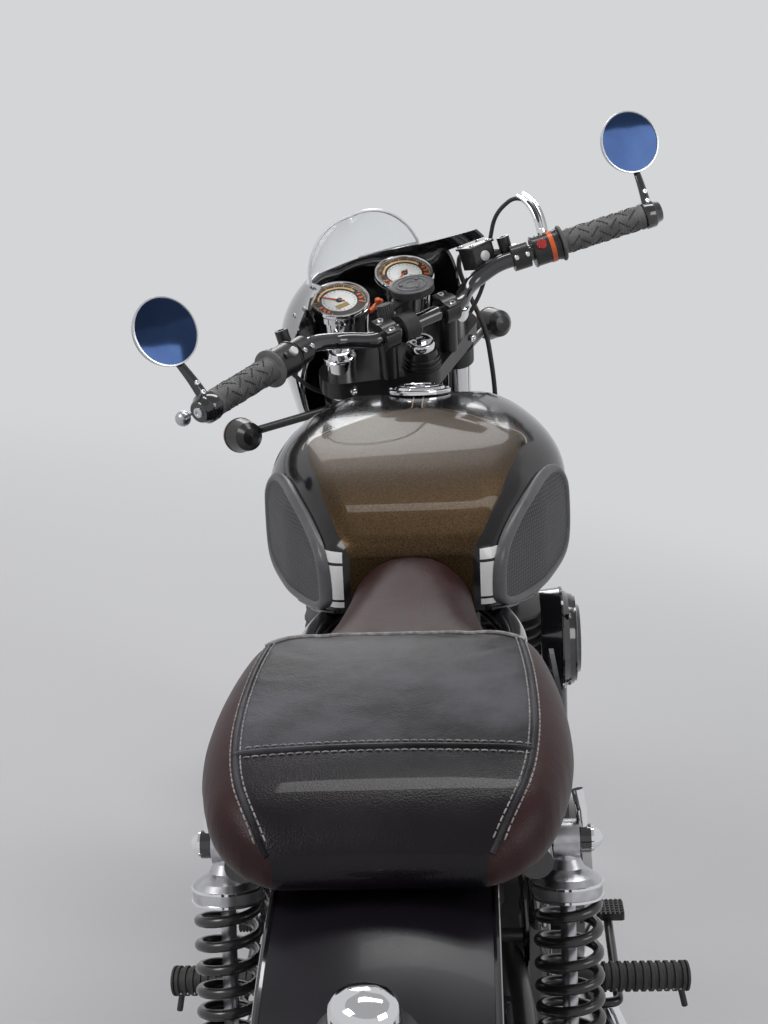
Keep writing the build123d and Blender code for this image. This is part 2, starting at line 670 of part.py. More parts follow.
with BuildPart() as shock_springs:
    for side in (1, -1):
        low = Vector(SHOCK_FOOT[0], side * SHOCK_FOOT[1], SHOCK_FOOT[2])
        high = Vector(SHOCK_TOP[0], side * SHOCK_TOP[1], SHOCK_TOP[2])
        along = (high - low).normalized()
        pitch = (SPRING_HIGH - SPRING_LOW) / SPRING_TURNS
        outline = [(SPRING_LOW + 0.3, 19.2), (SPRING_LOW + 0.3, 20.5)]
        for i in range(SPRING_TURNS):
            mid = SPRING_LOW + (i + 0.5) * pitch
            for part_turn in (150, 90, 30):
                angle = radians(part_turn)
                outline.append((mid + SPRING_WIRE * cos(angle), 20.5 + 1.6 * SPRING_WIRE * sin(angle)))
        outline += [(SPRING_HIGH - 0.3, 20.5), (SPRING_HIGH - 0.3, 19.2)]
        turned(low, along, outline)
made["shock_springs"] = shock_springs.part

# Rear brake caliper over the top of its disc
with BuildPart() as rear_caliper:
    side_plate(
        [(10, 372), (78, 372), (96, 420), (70, 470), (20, 486), (-6, 440)],
        -102,
        -64,
    )
    rod(
        rear_axle + Vector(0, REAR_DISC_Y - 7.6, 0),
        rear_axle + Vector(0, REAR_DISC_Y + 7.6, 0),
        REAR_DISC_RADIUS + 5,
        Mode.SUBTRACT,
    )
made["rear_caliper"] = rear_caliper.part

PEG_RADIUS = 14.0
with BuildPart() as rider_pegs:
    for side in (1, -1):
        rod((561, side * 124.8, 322), (557, side * 196, 306), 9)
        rod((557, side * 192, 306), (568, side * 289, 300), PEG_RADIUS)
        rod((568, side * 280, 290), (570, side * 286, 262), 3.5)
made["rider_pegs"] = rider_pegs.part

with BuildPart() as foot_controls:
    for side in (1, -1):
        pipe(
            [(552, side * 160, 303), (552, side * 160, 272), (562, side * 212, 272), (726, side * 214, 282)],
            [9, 9],
            5.5,
        )
    block((718, -234, 286), (754, -200, 295), 4)
    rod((726, 200, 284), (726, 238, 284), 9)
made["foot_controls"] = foot_controls.part

with BuildPart() as side_stand:
    rod(stand_pivot - stand_axis * 7.5, stand_pivot + stand_axis * 7.5, 20)
    rod(stand_pivot + stand_out * 17.5, stand_foot + floor_up * 12, STAND_RADIUS)
    rod(stand_foot, stand_foot + floor_up * 8, 26)
    rod(stand_pivot - stand_axis * 30, stand_pivot + stand_axis * 30, STAND_BOLT + BORE_GAP, Mode.SUBTRACT)
made["side_stand"] = side_stand.part

# Steering: stem and yokes
YOKE_LOW = HEAD_BOTTOM - YOKE_GAP - YOKE_THICKNESS
YOKE_HIGH = HEAD_TOP + YOKE_GAP
STEM_CAP = 62.0
CLAMP_RISE = 88.8
CLAMP_ALONG = YOKE_HIGH + CLAMP_RISE
CLAMP_OUT = 6.3
bar_middle = on_steering(CLAMP_ALONG, CLAMP_OUT)
CLAMP_Y = 50.0
with BuildPart() as triple_clamps:
    rod(on_steering(YOKE_LOW), on_steering(YOKE_HIGH + STEM_CAP), STEM_RADIUS)
    turned(
        on_steering(YOKE_HIGH),
        steer_dir,
        [(10, 0), (10, 27), (YOKE_THICKNESS, 27), (STEM_CAP - 12, 21), (STEM_CAP - 12, 18), (STEM_CAP, 18), (STEM_CAP, 0)],
    )
    for low in (YOKE_LOW, YOKE_HIGH):
        with BuildSketch(Plane(origin=on_steering(low), x_dir=(0, 1, 0), z_dir=steer_dir)):
            Circle(28)
            with Locations((FORK_SPREAD, -FORK_OFFSET), (-FORK_SPREAD, -FORK_OFFSET)):
                Circle(31)
            make_hull()
            with Locations((FORK_SPREAD, -FORK_OFFSET), (-FORK_SPREAD, -FORK_OFFSET)):
                Circle(FORK_TUBE_RADIUS + BORE_GAP, mode=Mode.SUBTRACT)
        extrude(amount=YOKE_THICKNESS)
    for side in (1, -1):
        foot = on_steering(YOKE_HIGH + YOKE_THICKNESS - 1, CLAMP_OUT, side * CLAMP_Y)
        top = on_steering(CLAMP_ALONG, CLAMP_OUT, side * CLAMP_Y)
        rod(foot, top, 13)
        rod(top - Vector(0, 11, 0), top + Vector(0, 11, 0), 19)
        rod(top - Vector(0, 60, 0), top + Vector(0, 60, 0), BAR_RADIUS + BORE_GAP, Mode.SUBTRACT)
made["triple_clamps"] = triple_clamps.part

SLIDER_TOP = axle_along + 330
CALIPER_HALF = 45.0
CALIPER_TURN = radians(46.0)
towards = Vector(cos(pi / 2 + RAKE + CALIPER_TURN), 0, sin(pi / 2 + RAKE + CALIPER_TURN))
across = Vector(towards.Z, 0, -towards.X)
with BuildPart() as fork_tubes:
    for side in (1, -1):
        turned(
            on_steering(SLIDER_TOP + 0.3, FORK_OFFSET, side * FORK_SPREAD),
            steer_dir,
            [
                (0, 0),
                (0, FORK_TUBE_RADIUS),
                (FORK_TOP - SLIDER_TOP, FORK_TUBE_RADIUS),
                (FORK_TOP - SLIDER_TOP + 2, 17),
                (FORK_TOP - SLIDER_TOP + 8, 15),
                (FORK_TOP - SLIDER_TOP + 8, 0),
            ],
        )
made["fork_tubes"] = fork_tubes.part

with BuildPart() as fork_gaiters:
    for side in (1, -1):
        reach = YOKE_LOW - SLIDER_TOP - 4
        folds = 8
        outline = [(0, FORK_TUBE_RADIUS + 0.3), (0, 30)]
        for i in range(folds):
            outline.append(((i + 0.5) * reach / folds, 35))
            outline.append(((i + 1) * reach / folds, 29))
        outline.append((reach, FORK_TUBE_RADIUS + 0.3))
        turned(on_steering(SLIDER_TOP + 2, FORK_OFFSET, side * FORK_SPREAD), steer_dir, outline)
made["fork_gaiters"] = fork_gaiters.part

with BuildPart() as fork_sliders:
    for side in (1, -1):
        foot = on_steering(axle_along - 26, FORK_OFFSET, side * FORK_SPREAD)
        turned(
            foot,
            steer_dir,
            [(0, 0), (0, 20), (8, SLIDER_RADIUS), (SLIDER_TOP - axle_along + 26, SLIDER_RADIUS), (SLIDER_TOP - axle_along + 26, 0)],
        )
    for reach in (100, 142):
        lug_end = front_axle + towards * reach + across * (CALIPER_HALF + 0.3) + Vector(0, -88, 0)
        rod(lug_end, lug_end + across * (reach * tan(CALIPER_TURN) - CALIPER_HALF - 12), 7)
    rod(front_axle - Vector(0, 160, 0), front_axle + Vector(0, 160, 0), AXLE_RADIUS + BORE_GAP, Mode.SUBTRACT)
made["fork_sliders"] = fork_sliders.part

FRONT_FENDER_RADIUS = FRONT_TYRE_RADIUS + 28
with BuildPart() as front_fender:
    fender(front_axle, FRONT_FENDER_RADIUS, 57, 16, 62, 160)
    for side in (1, -1):
        rod(
            on_steering(axle_along + 323, FORK_OFFSET, side * 53),
            on_steering(axle_along + 323, FORK_OFFSET, side * (FORK_SPREAD - SLIDER_RADIUS - 0.3)),
            6,
        )
        strut = front_axle + Vector(cos(radians(150)), 0, sin(radians(150))) * 328 + Vector(0, side * 56, 0)
        rod(strut, on_steering(axle_along + 215, FORK_OFFSET - 23, side * (FORK_SPREAD - 23)), 4)
made["front_fender"] = front_fender.part

with BuildPart() as front_caliper:
    corners = [
        (92, -CALIPER_HALF),
        (92, CALIPER_HALF),
        (152, CALIPER_HALF),
        (178, 24),
        (178, -24),
        (152, -CALIPER_HALF),
    ]
    outline = [
        (front_axle.X + towards.X * along + across.X * wide, front_axle.Z + towards.Z * along + across.Z * wide)
        for along, wide in corners
    ]
    side_plate(outline, -96, -44)
    rod(
        front_axle + Vector(0, FRONT_DISC_Y - 7.6, 0),
        front_axle + Vector(0, FRONT_DISC_Y + 7.6, 0),
        FRONT_DISC_RADIUS + 5,
        Mode.SUBTRACT,
    )
made["front_caliper"] = front_caliper.part

LAMP_Z = 874.0
SIGNAL_ROOT = {side: (1186, side * 122, 893) for side in (1, -1)}
with BuildPart() as headlight:
    turned(
        (1240, 0, LAMP_Z),
        (1, 0, 0),
        [(0, 0), (0, 36), (18, 60), (46, 80), (74, 87), (84, 90), (94, 90), (97, 84), (104, 60), (107, 0)],
    )
    for side in (1, -1):
        rod((1262, side * 60, LAMP_Z), (1236, side * 76, LAMP_Z), 9)
made["headlight"] = headlight.part

# Cowl: a thin shell through four rounded sections, open on top where the screen stands on its lip
# x, half width, bottom, top, corner radius
COWL_RISE = 184.0
SCREEN_FOOT = LAMP_Z + COWL_RISE
cowl_sections = (
    (1344, 96, LAMP_Z - 96, LAMP_Z + 96, 95),
    (1283, 124, 784, SCREEN_FOOT - 0.5, 110),
    (1180, 150, 792, SCREEN_FOOT + 20, 130),
    (1096, 158, 800, SCREEN_FOOT + 42, 100),
)
COWL_WALL = 3.5
with BuildPart() as cowl:
    rounded_loft(cowl_sections)
    rounded_loft(cowl_sections, -COWL_WALL, Mode.SUBTRACT)
    side_plate(
        [
            (1284, 770),
            (1350, 770),
            (1350, SCREEN_FOOT),
            (1098, SCREEN_FOOT + 2),
            (1098, SCREEN_FOOT - 12),
            (1158, SCREEN_FOOT - 20),
            (1190, 990),
        ],
        -200,
        200,
        Mode.INTERSECT,
    )
    for side in (1, -1):
        rod(SIGNAL_ROOT[side], (1262, side * 205, 890), 6.5, Mode.SUBTRACT)
made["cowl"] = cowl.part

# Screen: a small clear bubble on the cowl's lip, open towards the rider
# x, half width, bottom, top, corner radius
screen_sections = (
    (1182, 92, SCREEN_FOOT - 98, SCREEN_FOOT + 73, 80),
    (1240, 66, SCREEN_FOOT - 78, SCREEN_FOOT + 39, 58),
    (1281, 24, SCREEN_FOOT - 58, SCREEN_FOOT + 4, 22),
)
SCREEN_WALL = 3.5
with BuildPart() as windscreen:
    rounded_loft(screen_sections)
    rounded_loft(screen_sections, -SCREEN_WALL, Mode.SUBTRACT)
    block((1100, -150, 900), (1300, 150, SCREEN_FOOT + 1.6), mode=Mode.SUBTRACT)
made["windscreen"] = windscreen.part

GAUGE = Vector(1186, 55, 1023)
gauge_face = Vector(-0.5, 0, 0.866)
with BuildPart() as gauges:
    for side in (1, -1):
        turned(
            (GAUGE.X, side * GAUGE.Y, GAUGE.Z),
            gauge_face,
            [(-56, 0), (-56, 28), (-48, 38), (-8, 40), (-7, 42.5), (2, 42.5), (4, 39), (4, 0)],
        )
    block((1206, -60, 950), (1226, 60, 990), 4)
    for side in (1, -1):
        rod(on_steering(1007, 89.5, side * 40), (1212, side * 40, 962), 6)
made["gauges"] = gauges.part

# Handlebar: half of its points from the middle of the clamps, then mirrored
def by_bar(x, y, z):
    """A point ahead of, beside and above the middle of the handlebar."""
    return bar_middle + Vector(x, y, z)


bar_half = [by_bar(*point) for point in ((0, 72, 0), (22, 106, 14), (8, 152, 28), (-87, 362, 25))]
with BuildPart() as handlebar:
    bar_points = [(point.X, -point.Y, point.Z) for point in reversed(bar_half)] + bar_half
    pipe(bar_points, [90, 50, 35, 35, 50, 90], BAR_RADIUS)
made["handlebar"] = handlebar.part

grip_root = bar_half[2]
grip_way = (bar_half[3] - grip_root).normalized()


def mirrored_y(vector, side):
    """The same point or direction on one side of the bar."""
    return Vector(vector.X, vector.Y * side, vector.Z)


with BuildPart() as grips:
    for side in (1, -1):
        turned(
            mirrored_y(grip_root + grip_way * 92, side),
            mirrored_y(grip_way, side),
            [(0, 11.4), (0, 25), (4, 25), (6, GRIP_RADIUS), (118, GRIP_RADIUS), (122, 17), (122, 11.4)],
        )
made["grips"] = grips.part

# Perches, switch housings, the master cylinder and the levers
master_front = by_bar(62, -128, 57)
with BuildPart() as controls:
    for side in (1, -1):
        start = mirrored_y(grip_root + grip_way * 52, side)
        turned(start, mirrored_y(grip_way, side), [(0, 11.4), (0, 21), (38, 21), (38, 11.4)])
        start = mirrored_y(grip_root + grip_way * 22, side)
        turned(start, mirrored_y(grip_way, side), [(0, 11.4), (0, 18), (24, 18), (24, 11.4)])
        middle = mirrored_y(grip_root + grip_way * 34, side)
        rod(middle + Vector(16, side * 2, 0), middle + Vector(48, side * 14, 2), 8)
        rod(middle + Vector(30, 0, 4), middle + Vector(30, 0, 30), 9)
    block(by_bar(26, -168, 28), master_front, 6)
    rod(mirrored_y(grip_root + grip_way * 34, -1) + Vector(33, 9, 8), by_bar(36, -160, 40), 7)
    for side in (1, -1):
        middle = mirrored_y(grip_root + grip_way * 34, side)
        rod(middle + Vector(30, 0, 14), middle + Vector(30, 0, 40), 5, Mode.SUBTRACT)
made["controls"] = controls.part

with BuildPart() as levers:
    for side in (1, -1):
        middle = mirrored_y(grip_root + grip_way * 34, side)
        tip = by_bar(-14, side * 364, 10)
        root = middle + Vector(50, side * 26, 0)
        pipe([root, root + Vector(4, side * 42, -4), tip], [60], 6)
        ball(tip, 10)
made["levers"] = levers.part

MIRROR = by_bar(-68, 366, 126)
with BuildPart() as mirrors:
    for side in (1, -1):
        facing_rider = Vector(-0.96, -0.18 * side, 0.2).normalized()
        end = mirrored_y(grip_root + grip_way * 214.5, side)
        turned(end, mirrored_y(grip_way, side), [(0, 11.4), (0, 19), (14, 19), (16, 17), (24, 14), (24, 0), (17.2, 0), (17.2, 11.4)])
        centre = Vector(MIRROR.X, side * MIRROR.Y, MIRROR.Z)
        turned(centre - facing_rider * 14, facing_rider, [(0, 0), (0, 20), (4, 36), (10, 42.5), (16, 42.5), (16, 40), (15, 0)])
        root = end + mirrored_y(grip_way, side) * 8 + Vector(0, 0, 15)
        pipe([root, root + Vector(4, side * 4, 26), centre - facing_rider * 6 - Vector(0, 0, 24)], [40], 5)
made["mirrors"] = mirrors.part

with BuildPart() as front_signals:
    for side in (1, -1):
        rod(SIGNAL_ROOT[side], (1262, side * 205, 890), 6)
        clamp = on_steering(954, FORK_OFFSET, side * FORK_SPREAD)
        turned(
            clamp,
            steer_dir,
            [(0, FORK_TUBE_RADIUS + 0.1), (0, 26), (26, 26), (26, FORK_TUBE_RADIUS + 0.1)],
        )
        turned(
            (1240, side * 222, 889),
            (1, 0, 0),
            [(0, 0), (2, 12), (10, 20), (36, 24), (40, 24), (50, 22), (56, 10), (56, 0)],
        )
made["front_signals"] = front_signals.part

PUCK_HEIGHT = 15.0
puck_way = Vector(-0.3, 0, 0.954).normalized()
puck_foot = by_bar(19, -17, 33)
puck_top = puck_foot + puck_way * PUCK_HEIGHT
with BuildPart() as phone_mount:
    turned(puck_foot, puck_way, [(0, 0), (0, 13), (5, 27), (5, 30), (PUCK_HEIGHT, 30), (PUCK_HEIGHT, 0)])
    rod(by_bar(17, -17, 36), by_bar(22, 30, 24), 6)
    rod(by_bar(22, 30, 10), by_bar(20, 30, 36), 10)
    rod(by_bar(22, 30, 16), by_bar(7, 18, 14), 5)
    turned(by_bar(0, 6, 0), (0, 1, 0), [(0, 11.4), (0, 19), (22, 19), (22, 11.4)])
made["phone_mount"] = phone_mount.part

# Cables and the brake hose, each along its route of short runs and wide arcs
def cord(points, radius):
    """Add a cord along a route, each arc as large as its two runs allow."""
    points = [Vector(point) for point in points]
    bends = []
    for before, here, after in zip(points, points[1:], points[2:]):
        half_turn = radians((here - before).get_angle(after - here)) / 2
        bends.append(0.45 * min((here - before).length, (after - here).length) / tan(half_turn))
    print("bends", [round(bend) for bend in bends])
    pipe(points, bends, radius)


CABLE_RADIUS = 3.0
HOSE_RADIUS = 3.5
throttle_way = (
    (1076, -219, 1025), (1085, -229, 1058), (1114, -224, 1080), (1146, -202, 1062), (1158, -182, 1016),
    (1168, -164, 968), (1192, -134, 928), (1222, -90, 898), (1236, -30, 880),
)
clutch_way = (
    (1141, 199, 1007), (1160, 186, 1000), (1172, 168, 972), (1190, 138, 932), (1220, 94, 900), (1236, 30, 872),
)
# along the steering axis, forward of it, to its left
hose_way = (
    (985, 50, -149), (896, 24, -144), (800, 29, -146), (705, 22, -142),
    (610, 17, -138), (530, 0, -124), (480, -20, -96),
)
with BuildPart() as throttle_cable:
    cord(throttle_way, CABLE_RADIUS)
made["throttle_cable"] = throttle_cable.part
with BuildPart() as clutch_cable:
    cord(clutch_way, CABLE_RADIUS)
made["clutch_cable"] = clutch_cable.part
with BuildPart() as brake_hose:
    cord(
        [(master_front.X + 0.3, -148, 1020), (1184, -150, 1022), (1206, -154, 998), (1204, -157, 962)]
        + [on_steering(*point) for point in hose_way]
        + [front_axle + towards * 140 + across * (CALIPER_HALF + 3.2) + Vector(0, -70, 0)],
        HOSE_RADIUS,
    )
made["brake_hose"] = brake_hose.part

# The steered pieces, which turn to the lock; the front wheel turns with them
steered = (
    "front_tyre", "front_wheel", "front_disc", "front_axle", "triple_clamps", "fork_tubes", "fork_gaiters",
    "fork_sliders", "front_fender", "front_caliper", "headlight", "cowl", "windscreen", "gauges", "handlebar",
    "grips", "controls", "levers", "mirrors", "front_signals", "phone_mount", "throttle_cable", "clutch_cable",
    "brake_hose",
)


def parked(shape, is_steered):
    """The shape or point as it stands parked: turned to the lock, then leaned."""
    if is_steered:
        shape = shape.rotate(steer_axis, LOCK)
    return shape.rotate(Axis.X, -LEAN)


for name in made:
    made[name] = parked(made[name], name in steered)
corners = [piece.bounding_box() for piece in made.values()]
low = [min(getattr(box.min, axis) for box in corners) for axis in ("X", "Y", "Z")]
high = [max(getattr(box.max, axis) for box in corners) for axis in ("X", "Y", "Z")]
shift = Vector(-(low[0] + high[0]) / 2, -(low[1] + high[1]) / 2, -low[2])
for name, piece in made.items():
    piece = piece.moved(Location(shift))
    piece.label = name
    export_step(piece, f"parts/{name}.step")
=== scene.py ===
import json
from functools import partial
from math import atan2, cos, pi, radians, sin, sqrt

import bmesh
import bpy
from mathutils import Matrix, Vector
from mathutils.bvhtree import BVHTree


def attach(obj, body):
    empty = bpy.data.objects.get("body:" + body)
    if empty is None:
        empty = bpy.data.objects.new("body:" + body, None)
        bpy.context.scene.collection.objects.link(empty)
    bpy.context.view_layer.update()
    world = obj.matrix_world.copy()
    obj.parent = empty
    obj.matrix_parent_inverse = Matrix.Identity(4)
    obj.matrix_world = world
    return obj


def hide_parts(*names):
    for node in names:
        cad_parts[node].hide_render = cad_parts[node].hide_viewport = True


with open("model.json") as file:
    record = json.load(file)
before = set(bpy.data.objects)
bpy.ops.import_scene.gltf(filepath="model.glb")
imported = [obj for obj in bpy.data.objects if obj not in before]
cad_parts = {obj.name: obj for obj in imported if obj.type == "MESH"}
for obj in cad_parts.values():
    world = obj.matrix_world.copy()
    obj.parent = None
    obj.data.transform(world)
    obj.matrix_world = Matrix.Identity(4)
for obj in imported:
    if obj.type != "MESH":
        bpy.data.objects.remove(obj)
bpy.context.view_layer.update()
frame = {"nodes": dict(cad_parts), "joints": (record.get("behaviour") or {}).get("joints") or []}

# The machine's own upright frame, in metres: X forward, Y left, Z up, rear axle above the origin.
# CHASSIS and STEERING put a point of it where the parked machine has it.
MM = 0.001
RAKE = radians(26)
LEAN = radians(12.5)
LOCK = radians(36.5)
STEER_X = 1559
STEER_GROUND = Vector((STEER_X * MM, 0, 0))
joints = {joint["name"]: joint for joint in frame["joints"]}
shift = Vector(joints["steering_turn"]["pos_m"]) - STEER_GROUND
steer_dir = Vector((-sin(RAKE), 0, cos(RAKE)))
fork_out = Vector((cos(RAKE), 0, sin(RAKE)))
CHASSIS = Matrix.Translation(shift) @ Matrix.Rotation(-LEAN, 4, "X")
STEERING = (
    CHASSIS
    @ Matrix.Translation(STEER_GROUND)
    @ Matrix.Rotation(LOCK, 4, steer_dir)
    @ Matrix.Translation(-STEER_GROUND)
)


def linked(name, data):
    """A new object of some data, linked to the scene."""
    obj = bpy.data.objects.new(name, data)
    bpy.context.scene.collection.objects.link(obj)
    return obj


def camera():
    """The photograph's camera: its place, its aim and the picture's roll, in the upright ground frame."""
    place = Vector((-0.999, 0.195, 1.214)) + shift
    yaw, pitch, roll = radians(0.49), radians(14.26), radians(10.34)
    focal_px, width_px = 1550, 768
    forward = Vector((cos(yaw) * cos(pitch), sin(yaw) * cos(pitch), -sin(pitch)))
    level = forward.cross(Vector((0, 0, 1))).normalized()
    above = level.cross(forward)
    right = level * cos(roll) + above * sin(roll)
    up = above * cos(roll) - level * sin(roll)
    data = bpy.data.cameras.new("camera")
    data.sensor_fit = "HORIZONTAL"
    data.sensor_width = 36
    data.lens = focal_px * data.sensor_width / width_px
    obj = linked("camera", data)
    turn = Matrix((right, up, -forward)).transposed().to_4x4()
    obj.matrix_world = Matrix.Translation(place) @ turn
    bpy.context.scene.camera = obj


# Materials: every one is a small node tree on the piece's own coordinates
def put(mat, node, sockets):
    """Sets inputs of a node, each to a constant or to another node's output."""
    for key, value in sockets.items():
        if isinstance(value, bpy.types.NodeSocket):
            mat.node_tree.links.new(value, node.inputs[key])
        else:
            node.inputs[key].default_value = value


def add(mat, kind, sockets=None, **settings):
    """Adds a node of one kind to a material."""
    node = mat.node_tree.nodes.new("ShaderNode" + kind)
    for key, value in settings.items():
        setattr(node, key, value)
    put(mat, node, sockets or {})
    return node


def sums(mat, kind, first, second=None, clamp=False):
    """The result of one sum on numbers or other nodes' outputs."""
    sockets = {0: first} if second is None else {0: first, 1: second}
    return add(mat, "Math", sockets, operation=kind, use_clamp=clamp).outputs[0]


def ramp(mat, share, *stops):
    """A colour from a ramp with (position, colour) stops."""
    node = add(mat, "ValToRGB", {"Fac": share})
    for element, (position, colour) in zip(node.color_ramp.elements, stops):
        element.position = position
        element.color = (*colour, 1)
    return node.outputs["Color"]


def mixed(mat, amount, under, over):
    """One colour laid over another by an amount."""
    return add(mat, "Mix", {"Factor": amount, "A": under, "B": over}, data_type="RGBA").outputs["Result"]


def parts_of(mat):
    """A material's main shader, and its own coordinates."""
    nodes = mat.node_tree.nodes
    return nodes["Principled BSDF"], nodes["Texture Coordinate"].outputs["Object"]


def new_material(name):
    """A material with only its main shader and its coordinates."""
    mat = bpy.data.materials.new(name)
    mat.use_nodes = True
    add(mat, "TexCoord")
    return mat


def surface(name, colour, metallic=0, rough=0.4, coat=0, second=None, scale=60, bump=None, wear=0.08):
    """A plain material: a colour, or two mixed by noise, with uneven gloss and perhaps a fine relief."""
    mat = new_material(name)
    shader, place = parts_of(mat)
    put(mat, shader, {"Base Color": (*colour, 1), "Metallic": metallic, "Roughness": rough})
    put(mat, shader, {"Coat Weight": coat, "Coat Roughness": 0.04})
    noise = add(mat, "TexNoise", {"Vector": place, "Scale": scale, "Detail": 4}).outputs["Fac"]
    reach = {"Value": noise, "To Min": max(rough - wear, 0.02), "To Max": min(rough + wear, 1)}
    put(mat, shader, {"Roughness": add(mat, "MapRange", reach).outputs["Result"]})
    if second:
        put(mat, shader, {"Base Color": ramp(mat, noise, (0.4, colour), (0.65, second))})
    if bump:
        grain = add(mat, "TexNoise", {"Vector": place, "Scale": bump[0], "Detail": 3})
        relief = add(mat, "Bump", {"Distance": bump[1], "Strength": 0.6, "Height": grain.outputs["Fac"]})
        put(mat, shader, {"Normal": relief.outputs["Normal"]})
    return mat


def clear(name, tint, rough=0.02):
    """Clear glass or acrylic."""
    mat = surface(name, tint, 0, rough, 0, scale=20, wear=0.01)
    put(mat, parts_of(mat)[0], {"Transmission Weight": 1, "IOR": 1.15})
    return mat


def leather(name, colour, second, rough, coat, crack):
    """Leather: pebbled grain from cells, with scuffs of a second colour."""
    mat = surface(name, colour, 0, rough, coat, second, 14, None, 0.12)
    shader, place = parts_of(mat)
    cells = add(mat, "TexVoronoi", {"Vector": place, "Scale": 650}).outputs["Distance"]
    folds = add(mat, "TexNoise", {"Vector": place, "Scale": 38, "Detail": 6}).outputs["Fac"]
    broad = add(mat, "Bump", {"Distance": 0.0016, "Strength": crack, "Height": folds}).outputs["Normal"]
    fine = add(mat, "Bump", {"Distance": 0.0004, "Strength": 0.35, "Height": cells, "Normal": broad})
    put(mat, shader, {"Specular IOR Level": 0.17, "Normal": fine.outputs["Normal"]})
    return mat


gloss_black = surface("gloss_black", (0.012, 0.012, 0.014), 0, 0.12, 1, scale=8, wear=0.04)
satin_black = surface("satin_black", (0.022, 0.021, 0.022), 0.3, 0.34, 0.2, scale=40)
cast_black = surface("cast_black", (0.03, 0.03, 0.031), 0.5, 0.45, 0, (0.05, 0.049, 0.048), 30, (500, 0.0004))
matt_black = surface("matt_black", (0.02, 0.02, 0.021), 0, 0.6, 0, (0.035, 0.034, 0.034), 80, (700, 0.0003))
rubber = surface("rubber", (0.028, 0.027, 0.027), 0, 0.62, 0, (0.05, 0.048, 0.046), 25, (400, 0.0004))
grip_rubber = surface("grip_rubber", (0.1, 0.099, 0.1), 0, 0.55, 0, (0.16, 0.158, 0.158), 60, (600, 0.0003))
pad_rubber = surface("pad_rubber", (0.05, 0.05, 0.053), 0, 0.5, 0, (0.075, 0.075, 0.078), 90, (900, 0.0002))
pad_edge = surface("pad_edge", (0.075, 0.075, 0.08), 0, 0.4, 0.1, (0.1, 0.1, 0.106), 60)
tyre_rubber = surface(
    "tyre_rubber", (0.022, 0.022, 0.023), 0, 0.66, 0, (0.04, 0.039, 0.038), 18, (300, 0.0005)
)
chrome = surface("chrome", (0.8, 0.8, 0.81), 1, 0.07, 0, scale=15, wear=0.04)
satin_alloy = surface("satin_alloy", (0.58, 0.58, 0.6), 1, 0.3, 0, (0.48, 0.48, 0.5), 120)
steel = surface("steel", (0.46, 0.45, 0.45), 1, 0.32, 0, (0.36, 0.35, 0.35), 70)
dark_steel = surface("dark_steel", (0.16, 0.155, 0.15), 1, 0.38, 0, (0.09, 0.085, 0.08), 60)
white_paint = surface("white_paint", (0.75, 0.75, 0.74), 0, 0.25, 0.6, (0.68, 0.68, 0.67), 30)
plate_paint = surface("plate_paint", (0.72, 0.72, 0.7), 0, 0.4, 0, (0.62, 0.62, 0.6), 10)
amber = surface("amber_lens", (0.8, 0.24, 0.02), 0, 0.15, 0.8, (0.65, 0.17, 0.01), 60)
red_lens = surface("red_lens", (0.45, 0.012, 0.01), 0, 0.12, 1, (0.3, 0.008, 0.008), 60)
orange = surface("orange", (0.75, 0.13, 0.02), 0, 0.35, 0.2, (0.65, 0.1, 0.015), 60)
dial_dark = surface("dial_dark", (0.035, 0.026, 0.022), 0, 0.4, 0, (0.05, 0.036, 0.03), 80)
dial_cream = surface("dial_cream", (0.72, 0.45, 0.2), 0, 0.4, 0, (0.8, 0.55, 0.28), 30)
dial_white = surface("dial_white", (0.75, 0.76, 0.74), 0, 0.4, 0, (0.68, 0.7, 0.68), 60)
gold = surface("gold_window", (0.4, 0.3, 0.1), 0.4, 0.3, 0.4, (0.3, 0.22, 0.07), 60)
thread = surface("thread", (0.2, 0.19, 0.185), 0, 0.7, 0, (0.38, 0.36, 0.35), 200, (900, 0.0002))
mirror_glass = surface(
    "mirror_glass", (0.02, 0.042, 0.105), 1, 0.05, 0.2, (0.012, 0.028, 0.08), 12, None, 0.02
)
screen = clear("screen", (0.93, 0.95, 0.95))
# painted highlight: a pale opaque colour on the clear screen's edge and lip line
screen_edge_highlight = surface("screen_edge", (0.72, 0.74, 0.76), 0, 0.15, 0.8, (0.62, 0.64, 0.67), 40)
fender_black = surface("fender_black", (0.009, 0.0075, 0.0105), 0, 0.3, 0.05, (0.013, 0.011, 0.015), 12)
put(fender_black, parts_of(fender_black)[0], {"Specular IOR Level": 0.26})
spring_black = surface("spring_black", (0.02, 0.02, 0.021), 0.2, 0.3, 0.4, (0.032, 0.031, 0.031), 60)
lamp_face = surface("lamp_face", (0.5, 0.52, 0.54), 0.7, 0.12, 1, (0.4, 0.42, 0.45), 30)
lamp_line = surface("lamp_line", (0.7, 0.72, 0.74), 0.2, 0.2, 0.6, (0.6, 0.62, 0.65), 60)
bright_rim = surface("bright_rim", (0.68, 0.7, 0.72), 0.6, 0.2, 0.3, (0.58, 0.6, 0.63), 60)
puck_grey = surface("puck_grey", (0.06, 0.06, 0.064), 0, 0.4, 0.1, (0.09, 0.09, 0.094), 90, (700, 0.0002))
smoke = surface("smoke_lens", (0.05, 0.012, 0.014), 0, 0.08, 1, (0.03, 0.01, 0.012), 40)
seat_black = leather("seat_black", (0.005, 0.0045, 0.0065), (0.06, 0.058, 0.068), 0.42, 0, 0.6)
seat_rear = leather("seat_rear", (0.006, 0.004, 0.006), (0.011, 0.008, 0.01), 0.3, 0.16, 0.3)
seat_brown = leather("seat_brown", (0.028, 0.0105, 0.0115), (0.044, 0.0175, 0.018), 0.4, 0, 0.3)


